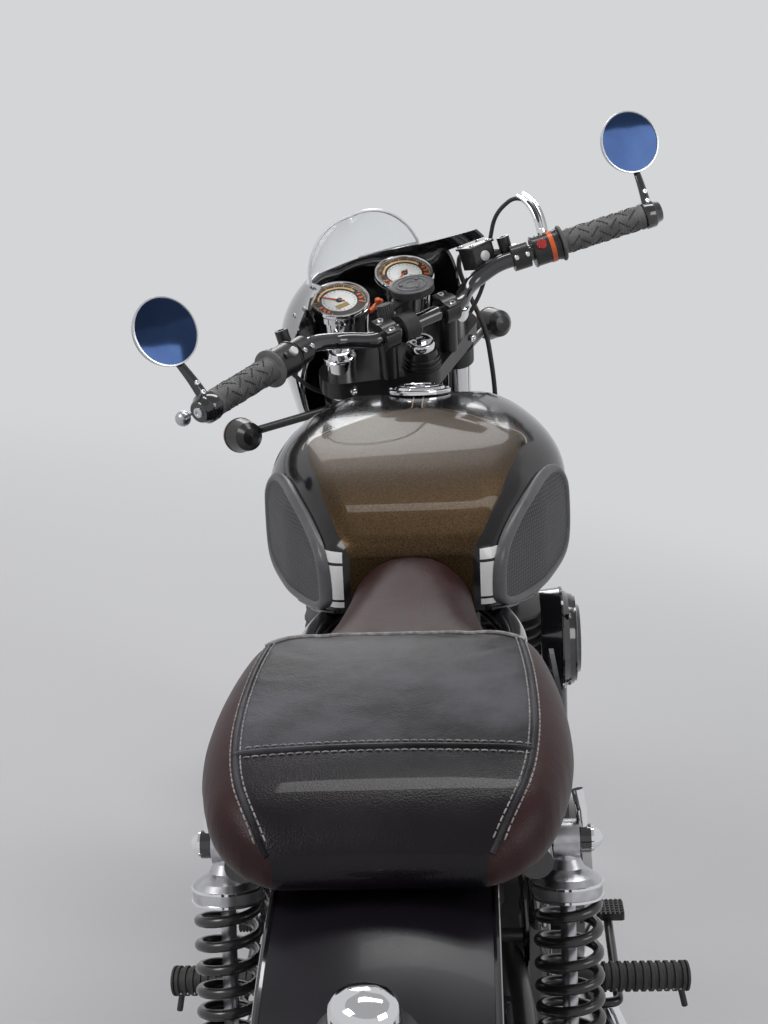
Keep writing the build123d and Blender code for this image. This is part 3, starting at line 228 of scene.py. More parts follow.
# The finish of each CAD node, seen where no scene piece stands for it
FINISHES = (
    (tyre_rubber, "front_tyre rear_tyre"),
    (satin_black, "front_wheel rear_wheel swingarm tail_light rear_signals rear_caliper foot_controls"),
    (satin_black, "side_stand triple_clamps front_caliper controls mirrors front_signals"),
    (steel, "front_disc rear_disc rear_sprocket front_axle rear_axle"),
    (gloss_black, "frame engine_covers side_covers front_fender headlight cowl handlebar fuel_tank"),
    (dark_steel, "chain"),
    (cast_black, "crankcase cylinders cylinder_head"),
    (matt_black, "intake shock_springs phone_mount"),
    (chrome, "exhaust_left exhaust_right fork_tubes gauges fuel_cap"),
    (fender_black, "rear_fender"),
    (plate_paint, "plate_holder"),
    (satin_alloy, "shock_dampers fork_sliders levers"),
    (rubber, "rider_pegs fork_gaiters brake_hose clutch_cable throttle_cable"),
    (screen, "windscreen"),
    (grip_rubber, "grips"),
    (pad_rubber, "knee_pads"),
    (seat_black, "seat"),
)
for finish, names in FINISHES:
    for name in names.split():
        cad_object = frame["nodes"][name]
        if not cad_object.material_slots:
            cad_object.data.materials.append(finish)
        for material_slot in cad_object.material_slots:
            material_slot.material = finish


def backdrop_material():
    """A pale studio sweep: lit near the machine, and an even tone further off for the camera and mirrors."""
    mat = new_material("sweep")
    shader, place = parts_of(mat)
    put(mat, shader, {"Base Color": (0.68, 0.68, 0.69, 1), "Roughness": 0.9, "Specular IOR Level": 0.2})
    glow = add(mat, "Emission", {"Color": (0.66, 0.665, 0.68, 1)})
    away = add(mat, "VectorMath", {0: place}, operation="LENGTH").outputs["Value"]
    # lit within 1 m of the middle, even from 4 m on
    limits = {"Value": away, "From Min": 1, "From Max": 4}
    far = add(mat, "MapRange", limits, interpolation_type="SMOOTHSTEP").outputs["Result"]
    path = add(mat, "LightPath").outputs
    seen = sums(mat, "ADD", path["Is Camera Ray"], path["Is Glossy Ray"], True)
    seen = sums(mat, "ADD", seen, path["Is Transmission Ray"], True)
    shaders = {"Fac": sums(mat, "MULTIPLY", seen, far), 1: shader.outputs[0], 2: glow.outputs[0]}
    put(mat, mat.node_tree.nodes["Material Output"], {"Surface": add(mat, "MixShader", shaders).outputs[0]})
    return mat


def stage():
    """A plain pale floor that rises smoothly into a backdrop, soft studio lamps and a pale world."""
    reach, curve, wall, steps = 7, 3, 9, 96
    profile = [(reach + curve * sin(a), curve - curve * cos(a)) for a in (radians(5 * i) for i in range(19))]
    profile.append((reach + curve, wall))
    bm = bmesh.new()
    x_way, y_way, z_way = Matrix.Identity(3)
    rings = [circle(bm, z_way * height, x_way, y_way, out, steps) for out, height in reversed(profile)]
    ring_faces(bm, rings, 0, False)
    bm.faces.new(rings[-1])
    mesh = bpy.data.meshes.new("floor")
    bm.to_mesh(mesh)
    bm.free()
    mesh.materials.append(backdrop_material())
    mesh.shade_smooth()
    floor = linked("floor", mesh)
    # name, place, aim, width, height, power
    lamps = (
        ("key", (-1.5, 2.5, 3), (0.1, 0, 0.7), 1.6, 1.2, 48),
        ("fill", (-1.9, -2.5, 2.6), (0, 0, 0.7), 1.8, 1.4, 26),
        ("top", (0.7, 0, 3.4), (0.1, 0, 0.7), 2.2, 0.5, 26),
        ("front", (3.2, 0.8, 2.2), (0.6, 0, 0.7), 1.4, 1.2, 18),
    )
    for name, place, aim, width, height, power in lamps:
        data = bpy.data.lights.new(name, "AREA")
        data.shape = "RECTANGLE"
        data.size = width
        data.size_y = height
        data.energy = power
        lamp = linked(name, data)
        lamp.location = place
        lamp.rotation_euler = (Vector(aim) - Vector(place)).to_track_quat("-Z", "Y").to_euler()
    world = bpy.data.worlds.new("world")
    world.use_nodes = True
    put(world, world.node_tree.nodes["Background"], {"Color": (0.85, 0.85, 0.87, 1), "Strength": 0.5})
    bpy.context.scene.world = world
    bpy.context.scene.view_settings.view_transform = "Standard"


# Mesh makers, all in the upright frame's metres
def ring_faces(bm, rings, index=0, ends=True):
    """Faces between rings of vertices, with both ends closed."""
    for before, after in zip(rings, rings[1:]):
        for i in range(len(before)):
            j = (i + 1) % len(before)
            bm.faces.new((before[i], before[j], after[j], after[i])).material_index = index
    if ends:
        bm.faces.new(list(reversed(rings[0]))).material_index = index
        bm.faces.new(rings[-1]).material_index = index


def at(x, y, z):
    """A point of the upright frame, given in millimetres."""
    return Vector((x, y, z)) * MM


def axes_of(direction):
    """Two directions square to one direction."""
    direction = Vector(direction).normalized()
    side = direction.cross(Vector((0, 0, 1)) if abs(direction.z) < 0.9 else Vector((1, 0, 0))).normalized()
    return side, direction.cross(side)


def circle(bm, middle, side, up, radius, steps, flat=1):
    """A ring of vertices round a point, flattened along one of its two directions."""
    turns = [2 * pi * i / steps for i in range(steps)]
    return [bm.verts.new(middle + (side * cos(turn) + up * sin(turn) * flat) * radius) for turn in turns]


def lathe(bm, origin, direction, outline, steps=48, index=0):
    """A turned solid; its outline is (along, radius) in millimetres, and the origin too."""
    direction = Vector(direction).normalized()
    side, up = axes_of(direction)
    origin = Vector(origin) * MM
    rings = []
    for along, radius in outline:
        rings.append(circle(bm, origin + direction * along * MM, side, up, max(radius, 0.02) * MM, steps))
    ring_faces(bm, rings, index)


def tube(bm, points, radius, steps=12, index=0, flat=1):
    """A bar along points in metres, with one radius or one for each point in millimetres."""
    points = [Vector(point) for point in points]
    radii = radius if hasattr(radius, "__len__") else [radius] * len(points)
    rings = []
    side = None
    for i, point in enumerate(points):
        way = (points[min(i + 1, len(points) - 1)] - points[max(i - 1, 0)]).normalized()
        side = axes_of(way)[0] if side is None else (side - way * side.dot(way)).normalized()
        rings.append(circle(bm, point, side, way.cross(side), radii[i] * MM, steps, flat))
    ring_faces(bm, rings, index)


def rod(bm, start, end, radius, steps=16, index=0):
    """A straight round bar between two points in millimetres."""
    tube(bm, [Vector(start) * MM, Vector(end) * MM], radius, steps, index)


def brick(bm, centre, size, turn=None, index=0, bevel=0):
    """A box about a centre, in millimetres, perhaps with its edges cut."""
    made = bmesh.ops.create_cube(bm, size=1.0)["verts"]
    shape = Matrix.Diagonal((*[edge * MM for edge in size], 1))
    turn = turn.to_4x4() if turn else Matrix.Identity(4)
    bmesh.ops.transform(bm, matrix=Matrix.Translation(Vector(centre) * MM) @ turn @ shape, verts=made)
    faces = list(dict.fromkeys(face for vert in made for face in vert.link_faces))
    for face in faces:
        face.material_index = index
    if bevel:
        edges = list(dict.fromkeys(edge for face in faces for edge in face.edges))
        bmesh.ops.bevel(bm, geom=edges, offset=bevel * MM, segments=2, affect="EDGES", profile=0.6)


def bolt(bm, place, way, radius=5, height=4, index=0):
    """A cap screw's head with its socket."""
    outline = (0, radius), (height - 0.6, radius), (height, radius - 0.7), (height, radius * 0.55)
    lathe(bm, place, way, [*outline, (height * 0.4, radius * 0.5), (height * 0.4, 0)], 18, index)


def turn_to(x_way, y_way):
    """A turn whose first two axes are these."""
    x_way = Vector(x_way).normalized()
    z_way = x_way.cross(Vector(y_way)).normalized()
    return Matrix((x_way, z_way.cross(x_way), z_way)).transposed()


def between(table, x, column):
    """A smooth value from a table of rows by x, at one column."""
    rows = sorted(table)
    xs = [row[0] for row in rows]
    if x <= xs[0]:
        return rows[0][column]
    if x >= xs[-1]:
        return rows[-1][column]
    k = max(i for i in range(len(xs) - 1) if xs[i] <= x)
    slopes = []
    for i in (k, k + 1):
        low, high = max(i - 1, 0), min(i + 1, len(xs) - 1)
        slopes.append((rows[high][column] - rows[low][column]) / (xs[high] - xs[low]))
    width = xs[k + 1] - xs[k]
    t = (x - xs[k]) / width
    a, b = rows[k][column], rows[k + 1][column]
    return (
        (2 * t**3 - 3 * t**2 + 1) * a
        + (t**3 - 2 * t**2 + t) * width * slopes[0]
        + (3 * t**2 - 2 * t**3) * b
        + (t**3 - t**2) * width * slopes[1]
    )


def rounded_ring(half, low, high, corner, floor=None, per_corner=12, per_side=8):
    """A rounded section's (y, z) points, anticlockwise from the right; a floor cuts it off flat below."""
    corner = min(corner, half - 0.5, (high - low) / 2 - 0.5)
    out, top, bottom = half - corner, high - corner, low + corner
    middles = ((out, top), (-out, top), (-out, bottom), (out, bottom))
    points = []
    for k, (y, z) in enumerate(middles):
        for angle in span(radians(90 * k), radians(90 * k + 90), per_corner + 1):
            points.append((y + corner * cos(angle), z + corner * sin(angle)))
        y0, z0 = points[-1]
        y1, z1 = middles[(k + 1) % 4]
        y1, z1 = y1 + corner * cos(angle), z1 + corner * sin(angle)
        for i in range(1, per_side):
            points.append((y0 + (y1 - y0) * i / per_side, z0 + (z1 - z0) * i / per_side))
    return points if floor is None else [(y, max(z, floor)) for y, z in points]


def body_loft(bm, table, stations, floor):
    """A solid through rounded sections (x, half width, low, high, corner) in millimetres, flat below."""
    rings = []
    for x in stations:
        ring = rounded_ring(*(between(table, x, column) for column in range(1, 5)), floor(x))
        rings.append([bm.verts.new(at(x, y, z)) for y, z in ring])
    ring_faces(bm, rings)


def bow(start, bend, end, count, first=0, last=1):
    """Shares along a bent line, each with its point, from start to end and pulled towards the bend."""
    for t in span(first, last, count):
        yield t, start * (1 - t) ** 2 + bend * 2 * t * (1 - t) + end * t * t


def span(start, stop, count):
    """Evenly spaced values from start to stop."""
    return [start + (stop - start) * i / (count - 1) for i in range(count)]


def piece(name, bm, body, materials, replaces=(), sharp=35):
    """Makes a piece of a mesh in the upright frame, rides it on its body and stands it for CAD nodes."""
    bmesh.ops.recalc_face_normals(bm, faces=bm.faces)
    mesh = bpy.data.meshes.new(name)
    bm.to_mesh(mesh)
    bm.free()
    for mat in materials:
        mesh.materials.append(mat)
    mesh.shade_smooth()
    if sharp:
        mesh.set_sharp_from_angle(angle=radians(sharp))
    obj = linked(name, mesh)
    obj.matrix_world = STEERING if body in ("steering", "front_wheel_set") else CHASSIS
    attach(obj, body)
    if replaces:
        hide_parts(*replaces)
    return obj


# Seat sections: x, half width, low, high, corner radius
RIDER = (
    (546, 65, 668, 802, 64),
    (500, 68, 668, 796, 60),
    (400, 82, 680, 781, 42),
    (310, 109, 700, 777, 28),
    (215, 123, 700, 800, 26),
)
HUMP = (
    (264, 96, 738, 796, 24),
    (250, 108, 738, 812, 30),
    (205, 125, 738, 824, 36),
    (70, 137, 738, 814, 38),
    (-25, 121, 738, 797, 30),
    (-58, 99, 739, 779, 20),
    (-74, 74, 742, 762, 9),
)
SEAT_FLOOR = 738
# The panels' edges on the hump: x, half width of the top panels
PANEL_EDGE = ((232, 100), (205, 103), (120, 108), (40, 107), (-20, 98), (-60, 80), (-78, 66))
CROSS_SEAM_X = 14


def panel_half(x):
    """Half the width of the hump's black panels at x."""
    return between(PANEL_EDGE, x, 1)


def cross_seam(y):
    """Where the seam across the hump lies, at y."""
    return CROSS_SEAM_X + 6 * cos(y / 70)


def crest(y):
    """Where the black panels end in front, at y."""
    return 205 + 30 * (1 - (y / 110) ** 2)


def drape(tree, points):
    """Points moved onto the nearest place of a surface, and its outward directions there."""
    found = []
    for point in points:
        place, normal, face, distance = tree.find_nearest(point)
        found.append((place, normal))
    return found


def fall(tree, points):
    """Points dropped straight down onto a surface; the rest go to its nearest place."""
    found = []
    for point in points:
        place, normal, face, distance = tree.ray_cast(point, Vector((0, 0, -1)))
        found.append(place if place is not None else tree.find_nearest(point)[0])
    return found


def evened(points, step):
    """Points spaced evenly, in metres, along a polyline."""
    spaced = [points[0]]
    left = step
    for a, b in zip(points, points[1:]):
        run = (b - a).length
        while left <= run:
            spaced.append(a.lerp(b, left / run))
            left += step
        left -= run
    return spaced


def stitches(bm, tree, points, index=0, step=6.2, length=4.2, lift=0.5):
    """Short thread stitches lying on a surface along a line of points."""
    line = evened([place for place, normal in drape(tree, points)], step * MM)
    for a, b in zip(line, line[1:]):
        way = (b - a).normalized()
        place, normal, face, distance = tree.find_nearest(a)
        start = place + normal * 0.1 * MM
        end = start + way * length * MM
        crest = (start + end) / 2 + normal * lift * MM
        tube(bm, [start - normal * 0.4 * MM, start, crest, end, end - normal * 0.4 * MM], 0.62, 6, index)


def inflate(obj, held, pressure, most):
    """Lets a cloth skin swell from its held points, each no further than a limit in millimetres."""
    mesh = obj.data
    before = [vert.co.copy() for vert in mesh.vertices]
    group = obj.vertex_groups.new(name="held")
    for vert in mesh.vertices:
        weight = held(vert.co)
        if weight > 0:
            group.add([vert.index], weight, "REPLACE")
    cloth = obj.modifiers.new("cloth", "CLOTH")
    settings = {
        "quality": 6, "mass": 0.25, "tension_stiffness": 22, "compression_stiffness": 22,
        "shear_stiffness": 6, "bending_stiffness": 1.2, "vertex_group_mass": "held",
        "use_pressure": True, "uniform_pressure_force": pressure,
    }
    for key, value in settings.items():
        setattr(cloth.settings, key, value)
    cloth.settings.effector_weights.gravity = 0
    cloth.collision_settings.use_collision = False
    frames = 20
    cloth.point_cache.frame_start = 1
    cloth.point_cache.frame_end = frames
    scene = bpy.context.scene
    for number in range(1, frames + 1):
        scene.frame_set(number)
    graph = bpy.context.evaluated_depsgraph_get()
    after = [vert.co.copy() for vert in obj.evaluated_get(graph).data.vertices]
    obj.modifiers.clear()
    scene.frame_set(1)
    for vert, old, new in zip(mesh.vertices, before, after):
        move = new - old
        if move.length > most * MM:
            move = move.normalized() * most * MM
        vert.co = old + move


def applied(obj, kind, **values):
    """Applies one modifier to a piece's mesh."""
    modifier = obj.modifiers.new(kind, kind)
    for key, value in values.items():
        setattr(modifier, key, value)
    graph = bpy.context.evaluated_depsgraph_get()
    mesh = bpy.data.meshes.new_from_object(obj.evaluated_get(graph))
    obj.modifiers.clear()
    old = obj.data
    obj.data = mesh
    bpy.data.meshes.remove(old)


def seat_hold(co):
    """How firmly a point of the skin is held: at the base, along the seams, and more along the nose."""
    x, y = co.x / MM, co.y / MM
    if co.z < (SEAT_FLOOR + 5) * MM:
        return 1
    if co.z > 0.75 and co.x < 0.21:
        seam = abs(abs(y) - panel_half(x)) if x < 232 else 99
        across = abs(x - cross_seam(y)) if abs(y) < panel_half(x) else 99
        if min(seam, across) < 3:
            return 1
    return min(max((co.x - 0.25) / 0.1, 0), 1)


def seat():
    """The seat: two padded bodies swollen between their seams, with piping and double stitching."""
    bm = bmesh.new()
    body_loft(bm, RIDER, span(546, 190, 40), lambda x: SEAT_FLOOR)
    body_loft(bm, HUMP, span(264, -74, 48), lambda x: SEAT_FLOOR)
    leathers = [seat_black, seat_rear, seat_brown]
    obj = piece("seat_cushion", bm, "chassis", leathers, ["seat"], 0)
    applied(obj, "REMESH", mode="VOXEL", voxel_size=0.0055)
    applied(obj, "SMOOTH", factor=0.6, iterations=9)
    inflate(obj, seat_hold, 4, 7)
    applied(obj, "SUBSURF", levels=1, render_levels=1)
    mesh = obj.data
    for mat in leathers:
        if mat.name not in mesh.materials:
            mesh.materials.append(mat)
    for face in mesh.polygons:
        x, y, z = (value / MM for value in face.center)
        black = x < 236 and abs(y) < panel_half(x) and (z > 752 or x < -40)
        if black and x < (crest(y) if abs(y) < 110 else 205):
            face.material_index = 0 if x > cross_seam(y) else 1
        else:
            face.material_index = 2
    mesh.shade_smooth()
    tree = BVHTree.FromPolygons([v.co for v in mesh.vertices], [p.vertices for p in mesh.polygons])
    bm = bmesh.new()

    def piping(points, lift, radius, steps, index):
        line = drape(tree, fall(tree, points))
        tube(bm, [place + normal * lift * MM for place, normal in line], radius, steps, index)

    above = 900
    for side in (1, -1):
        for gap in (-3.6, 3.6):
            edge = []
            for x in span(215, -66, 60):
                edge.append(at(x, side * (panel_half(x) + gap), above - abs(x - 80) * 0.2))
            stitches(bm, tree, fall(tree, edge))
    piping([at(crest(y), y, above) for y in span(-106, 106, 40)], 1, 1.9, 8, 1)
    for gap in (-6, 6):
        stitches(bm, tree, fall(tree, [at(cross_seam(y) + gap, y, above) for y in span(-104, 104, 40)]))
    piping([at(cross_seam(y), y, above) for y in span(-106, 106, 60)], -0.6, 2.6, 10, 2)
    for side in (1, -1):
        piping([at(x, side * panel_half(x), above) for x in span(218, -68, 80)], -0.9, 2.4, 10, 2)
    piece("seat_seams", bm, "chassis", [thread, thread, seat_black])


# Tank sections: x, half width, low, high, corner radius
TANK = (
    (1062, 52, 800, 872, 24),
    (1000, 118, 718, 894, 52),
    (900, 160, 706, 899, 70),
    (780, 174, 706, 888, 66),
    (665, 141, 693, 868, 54),
    (600, 111, 698, 844, 42),
    (562, 93, 706, 819, 32),
    (554, 87.5, 709, 812, 30),
    (549.5, 82, 711, 804, 28),
    (548, 76, 714, 797, 26),
)
# x and height of the seam along the tank's lower edge
TANK_FLOOR = ((548, 738), (600, 728), (690, 723), (760, 733), (900, 736), (1010, 752), (1062, 822))
# The flake-painted top: x, its half width
FLAKE_EDGE = (
    (548, 64), (562, 74), (580, 82), (600, 90), (650, 104), (700, 117), (740, 122), (780, 98), (820, 66),
    (855, 30), (872, 0), (900, 0),
)
FLAKE_FOOT = 0.742
# The white bars' lower and upper ends, how far forward they reach and how far in
WHITE_BARS = ((792.5, 803.5), (753, 789.5), (744.5, 750.5))
BARS_FRONT, BARS_INNER = 0.566, 0.0715


def half_curve(mat, value, points, low, high, top):
    """A smooth curve through (x, value) points, for x from low to high and values up to top."""
    share = sums(mat, "DIVIDE", sums(mat, "SUBTRACT", value, low), high - low)
    node = add(mat, "FloatCurve", {"Value": share})
    curve = node.mapping.curves[0]
    while len(curve.points) < len(points):
        curve.points.new(0.5, 0.5)
    for point, (x, half) in zip(curve.points, points):
        point.location = ((x * MM - low) / (high - low), half * MM / top)
        point.handle_type = "AUTO_CLAMPED"
    node.mapping.update()
    return sums(mat, "MULTIPLY", node.outputs["Value"], top)


def tank_paint():
    """Bronze flake inside the border curve, black outside, a pinstripe and three white bars a side."""
    mat = surface("tank_paint", (0.014, 0.013, 0.014), 0, 0.14, 1, scale=6, wear=0.03)
    shader, place = parts_of(mat)
    split = add(mat, "SeparateXYZ", {"Vector": place}).outputs
    over, under = partial(sums, mat, "GREATER_THAN"), partial(sums, mat, "LESS_THAN")
    both = partial(sums, mat, "MULTIPLY")
    across = sums(mat, "ABSOLUTE", split["Y"])
    border = sums(mat, "SUBTRACT", half_curve(mat, split["X"], FLAKE_EDGE, 0.5, 0.9, 0.2), across)
    inside = both(over(border, 0), over(split["Z"], FLAKE_FOOT))
    stripe = under(sums(mat, "ABSOLUTE", sums(mat, "ADD", border, 0.006)), 0.0008)
    stripe = both(stripe, over(split["X"], 0.735))
    bars = None
    for start, stop in WHITE_BARS:
        bar = both(over(split["Z"], start * MM), under(split["Z"], stop * MM))
        bars = bar if bars is None else sums(mat, "ADD", bars, bar)
    bars = both(both(bars, under(split["X"], BARS_FRONT)), over(across, BARS_INNER))
    flake = add(mat, "TexVoronoi", {"Vector": place, "Scale": 1400}).outputs["Color"]
    bronze = ramp(mat, flake, (0, (0.009, 0.005, 0.0025)), (0.9, (0.085, 0.05, 0.02)))
    colour = mixed(mat, inside, (0.012, 0.011, 0.012, 1), bronze)
    colour = mixed(mat, stripe, colour, (0.35, 0.25, 0.15, 1))
    colour = mixed(mat, bars, colour, (0.8, 0.79, 0.78, 1))
    rough = sums(mat, "ADD", both(inside, 0.3), 0.14)
    put(mat, shader, {"Base Color": colour, "Metallic": both(inside, 0.88), "Roughness": rough})
    put(mat, shader, {"Coat Weight": 0.28, "Coat IOR": 1.35, "Specular IOR Level": 0.3})
    return mat


def tank():
    """The painted tank with its seam flange below."""
    bm = bmesh.new()
    body_loft(bm, TANK, [548, 549.5, *span(552, 1056, 90), 1060, 1062], lambda x: between(TANK_FLOOR, x, 1))
    flange = []
    for x in span(549, 1060, 70):
        floor = between(TANK_FLOOR, x, 1)
        ring = rounded_ring(*(between(TANK, x, column) for column in range(1, 5)), floor)
        flange.append((x, max(y for y, z in ring if z < floor + 1.5), floor))
    for side in (1, -1):
        tube(bm, [at(x, side * (y + 1.2), z + 1.5) for x, y, z in flange], 2.2, 8)
    piece("tank", bm, "chassis", [tank_paint()], ["fuel_tank"], 40)


# x and height of the pads' outline
PAD_OUTLINE = (
    (551, 738), (550, 766), (552, 793), (574, 812), (608, 829), (658, 847), (716, 855), (738, 842),
    (748, 812), (750, 776), (738, 752), (700, 738), (622, 730),
)


def smooth_outline(outline, rounds):
    """A closed outline with its corners cut, some times over."""
    points = outline
    for k in range(rounds):
        cut = []
        for start, end in zip(points, points[1:] + points[:1]):
            cut += [start * 0.75 + end * 0.25, start * 0.25 + end * 0.75]
        points = cut
    return points


def grid_relief_and_shade(mat, cell, height):
    """Adds a field of small square studs to a material, in the upright frame's side view, with painted shade
    darkening the grooves between them.
    """
    shader, place = parts_of(mat)
    split = add(mat, "SeparateXYZ", {"Vector": place}).outputs
    waves = [sums(mat, "SINE", sums(mat, "MULTIPLY", split[axis], 2 * pi / cell)) for axis in ("X", "Z")]
    limits = {"Value": sums(mat, "MINIMUM", *waves), "From Min": -0.75, "From Max": -0.1}
    level = add(mat, "MapRange", limits).outputs["Result"]
    relief = add(mat, "Bump", {"Distance": height, "Strength": 1, "Height": level})
    under = shader.inputs["Base Color"].links[0].from_socket
    # painted shade: the grooves between the studs are mixed towards near-black
    colour = mixed(mat, level, (0.02, 0.02, 0.021, 1), under)
    put(mat, shader, {"Normal": relief.outputs["Normal"], "Base Color": colour})


def tank_skin(x, z, lift):
    """A point on the tank's left side at x and z, lifted off it, in millimetres."""
    half, low, high, corner = (between(TANK, x, column) for column in range(1, 5))
    rise = min(z - (high - corner), corner * 0.985)
    if rise <= 0:
        return half + lift, z
    out = half - corner + sqrt(corner**2 - rise**2) + lift * sqrt(1 - (rise / corner) ** 2)
    return out, high - corner + rise + lift * rise / corner


def knee_pads():
    """Rubber pads on the tank's sides: a smooth raised border round a field of small squares."""
    outline = smooth_outline([Vector(point) for point in PAD_OUTLINE], 3)
    middle = sum(outline, Vector((0, 0))) / len(outline)
    grid_relief_and_shade(pad_rubber, 0.0042, 0.0007)
    # inward from the outline, height off the tank
    steps = [(0, 0.6), (0, 5.4), (0.9, 7.6), (2.6, 8.8), (6.4, 8.9), (7.8, 8.2), (8.6, 6.6), (10.2, 6.4)]
    rings = []
    for depth, rise in steps:
        ring = []
        for before, spot, after in zip(outline[-1:] + outline[:-1], outline, outline[1:] + outline[:1]):
            run = (after - before).normalized()
            inward = Vector((run.y, -run.x))
            if inward.dot(middle - spot) < 0:
                inward = -inward
            spot = spot + inward * depth
            ring.append((spot.x, spot.y, rise))
        rings.append(ring)
    inner = rings[-1]
    for share in (0.14, 0.28, 0.42, 0.56, 0.7, 0.84, 0.95):
        rings.append([(x + (middle.x - x) * share, z + (middle.y - z) * share, 6.4) for x, z, rise in inner])
    bm = bmesh.new()
    for side in (1, -1):
        made = []
        for ring in rings:
            skin = [(x, *tank_skin(x, z, rise)) for x, z, rise in ring]
            made.append([bm.verts.new(at(x, side * y, z)) for x, y, z in skin])
        for k, pair in enumerate(zip(made, made[1:])):
            ring_faces(bm, pair, 0 if k < 6 else 1, False)
        bm.faces.new(made[-1]).material_index = 1
    piece("knee_grips", bm, "chassis", [pad_edge, pad_rubber], ["knee_pads"], 50)


# Turned, ridden and bolted pieces
def on_steering(along, out=0, y=0):
    """A point along the steering axis from the ground, ahead of the axis and to its left, in millimetres."""
    return Vector((STEER_X, y, 0)) + steer_dir * along + fork_out * out


def sided(vector, side):
    """The same point or direction on one side."""
    vector = Vector(vector)
    return Vector((vector.x, vector.y * side, vector.z))


BAR_END = Vector((1003, 362, 1001))
GRIP_ROOT = Vector((1098, 152, 1004))
GRIP_WAY = (BAR_END - GRIP_ROOT).normalized()


def on_bar(along, side):
    """A point along one side's straight bar end, in millimetres from its root."""
    return sided(GRIP_ROOT + GRIP_WAY * along, side)


FORK_OFFSET = 55
FORK_SPREAD = 97
YOKE_HIGH = 994
YOKE_LOW = 838


def joint_place(name, matrix):
    """A joint's place in the upright frame, in millimetres."""
    return (matrix.inverted() @ Vector(joints[name]["pos_m"])) / MM


def tyre(name, axle, radius, section, body, node):
    """A tyre with a grooved tread and thin lines on its side walls."""
    bead, rim = 35.5, 225.5
    arcs, steps = 36, 320
    shoulder = (section * 0.86, radius - section * 1.32)
    profile = [(-bead, rim + 0.6), (-bead, rim + 13.5), (-shoulder[0], shoulder[1])]
    for k in range(arcs + 1):
        angle = pi - pi * k / arcs
        profile.append((section * cos(angle), radius - section + section * sin(angle)))
    profile += [shoulder, (bead, rim + 13.5), (bead, rim + 0.6)]
    bm = bmesh.new()
    rings = []
    for i in range(steps):
        turn = 2 * pi * i / steps
        ring = []
        for k, (y, r) in enumerate(profile):
            arc = k - 3 - arcs // 2
            out = abs(arc)
            slant = (i + out + (5 if arc > 0 else 0)) % 10
            if out <= 11 and (out == 3 or (slant == 0 and out > 3) or (slant == 5 and out > 8)):
                r -= 2.6
            elif 13 <= out <= 15:
                r += 0.5
            ring.append(bm.verts.new((axle + Vector((cos(turn) * r, y, sin(turn) * r))) * MM))
        rings.append(ring)
    rings.append(rings[0])
    ring_faces(bm, rings, 0, False)
    piece(name, bm, body, [tyre_rubber], [node], 28)


def springs():
    """The open coil springs round the rear dampers, with chrome straps and acorn nuts above."""
    coils, bright = bmesh.new(), bmesh.new()
    turns, count, start, stop = 12.5, 375, 41.5, 258
    collar = [(-1.4, 26.8), (-0.9, 28), (0.9, 28), (1.4, 26.8)]
    acorn = [(0.4, 9.6), (3, 9.6), (4.4, 7.8), (7, 6.6), (9.4, 4), (10.4, 0)]
    for side in (1, -1):
        low, high = Vector((35, side * 132, 395)), Vector((98, side * 131, 696))
        way = (high - low).normalized()
        across, up = axes_of(way)
        points = []
        for t in span(0, 1, count + 1):
            along = start + (stop - start) * (t + 0.055 * sin(2 * pi * t) / pi)
            angle = 2 * pi * turns * t
            points.append((low + way * along + (across * cos(angle) + up * sin(angle)) * 22.8) * MM)
        tube(coils, points, 4.2, 10)
        lathe(bright, (98, side * 149, 696), (0, side, 0), acorn, 24)
        strap = [(0, 13.2, 2), (3, 12.6, 22), (6, 9.6, 38)]
        tube(bright, [(high + Vector((x, side * y, z))) * MM for x, y, z in strap], 4.6)
        for along in (264.5, 274.5):
            lathe(bright, low + way * along, way, collar)
    piece("shock_coils", coils, "chassis", [spring_black], ["shock_springs"], 50)
    piece("shock_chrome", bright, "chassis", [chrome], (), 35)


def fender_trim():
    """Rolled lips along both edges of each fender."""
    # name, axle, degrees round it, radius, half width, thickness, body
    for name, axle, degrees, radius, half, thick, body in (
        ("rear_fender_lips", rear_axle, range(58, 142), 389.4, 75.6, 2.8, "chassis"),
        ("front_fender_lips", front_axle, range(62, 161), 329.6, 56.8, 2.2, "steering"),
    ):
        bm = bmesh.new()
        for side in (1, -1):
            points = []
            for angle in map(radians, degrees):
                points.append((axle + Vector((cos(angle) * radius, side * half, sin(angle) * radius))) * MM)
            tube(bm, points, thick, 8)
        piece(name, bm, body, [gloss_black])


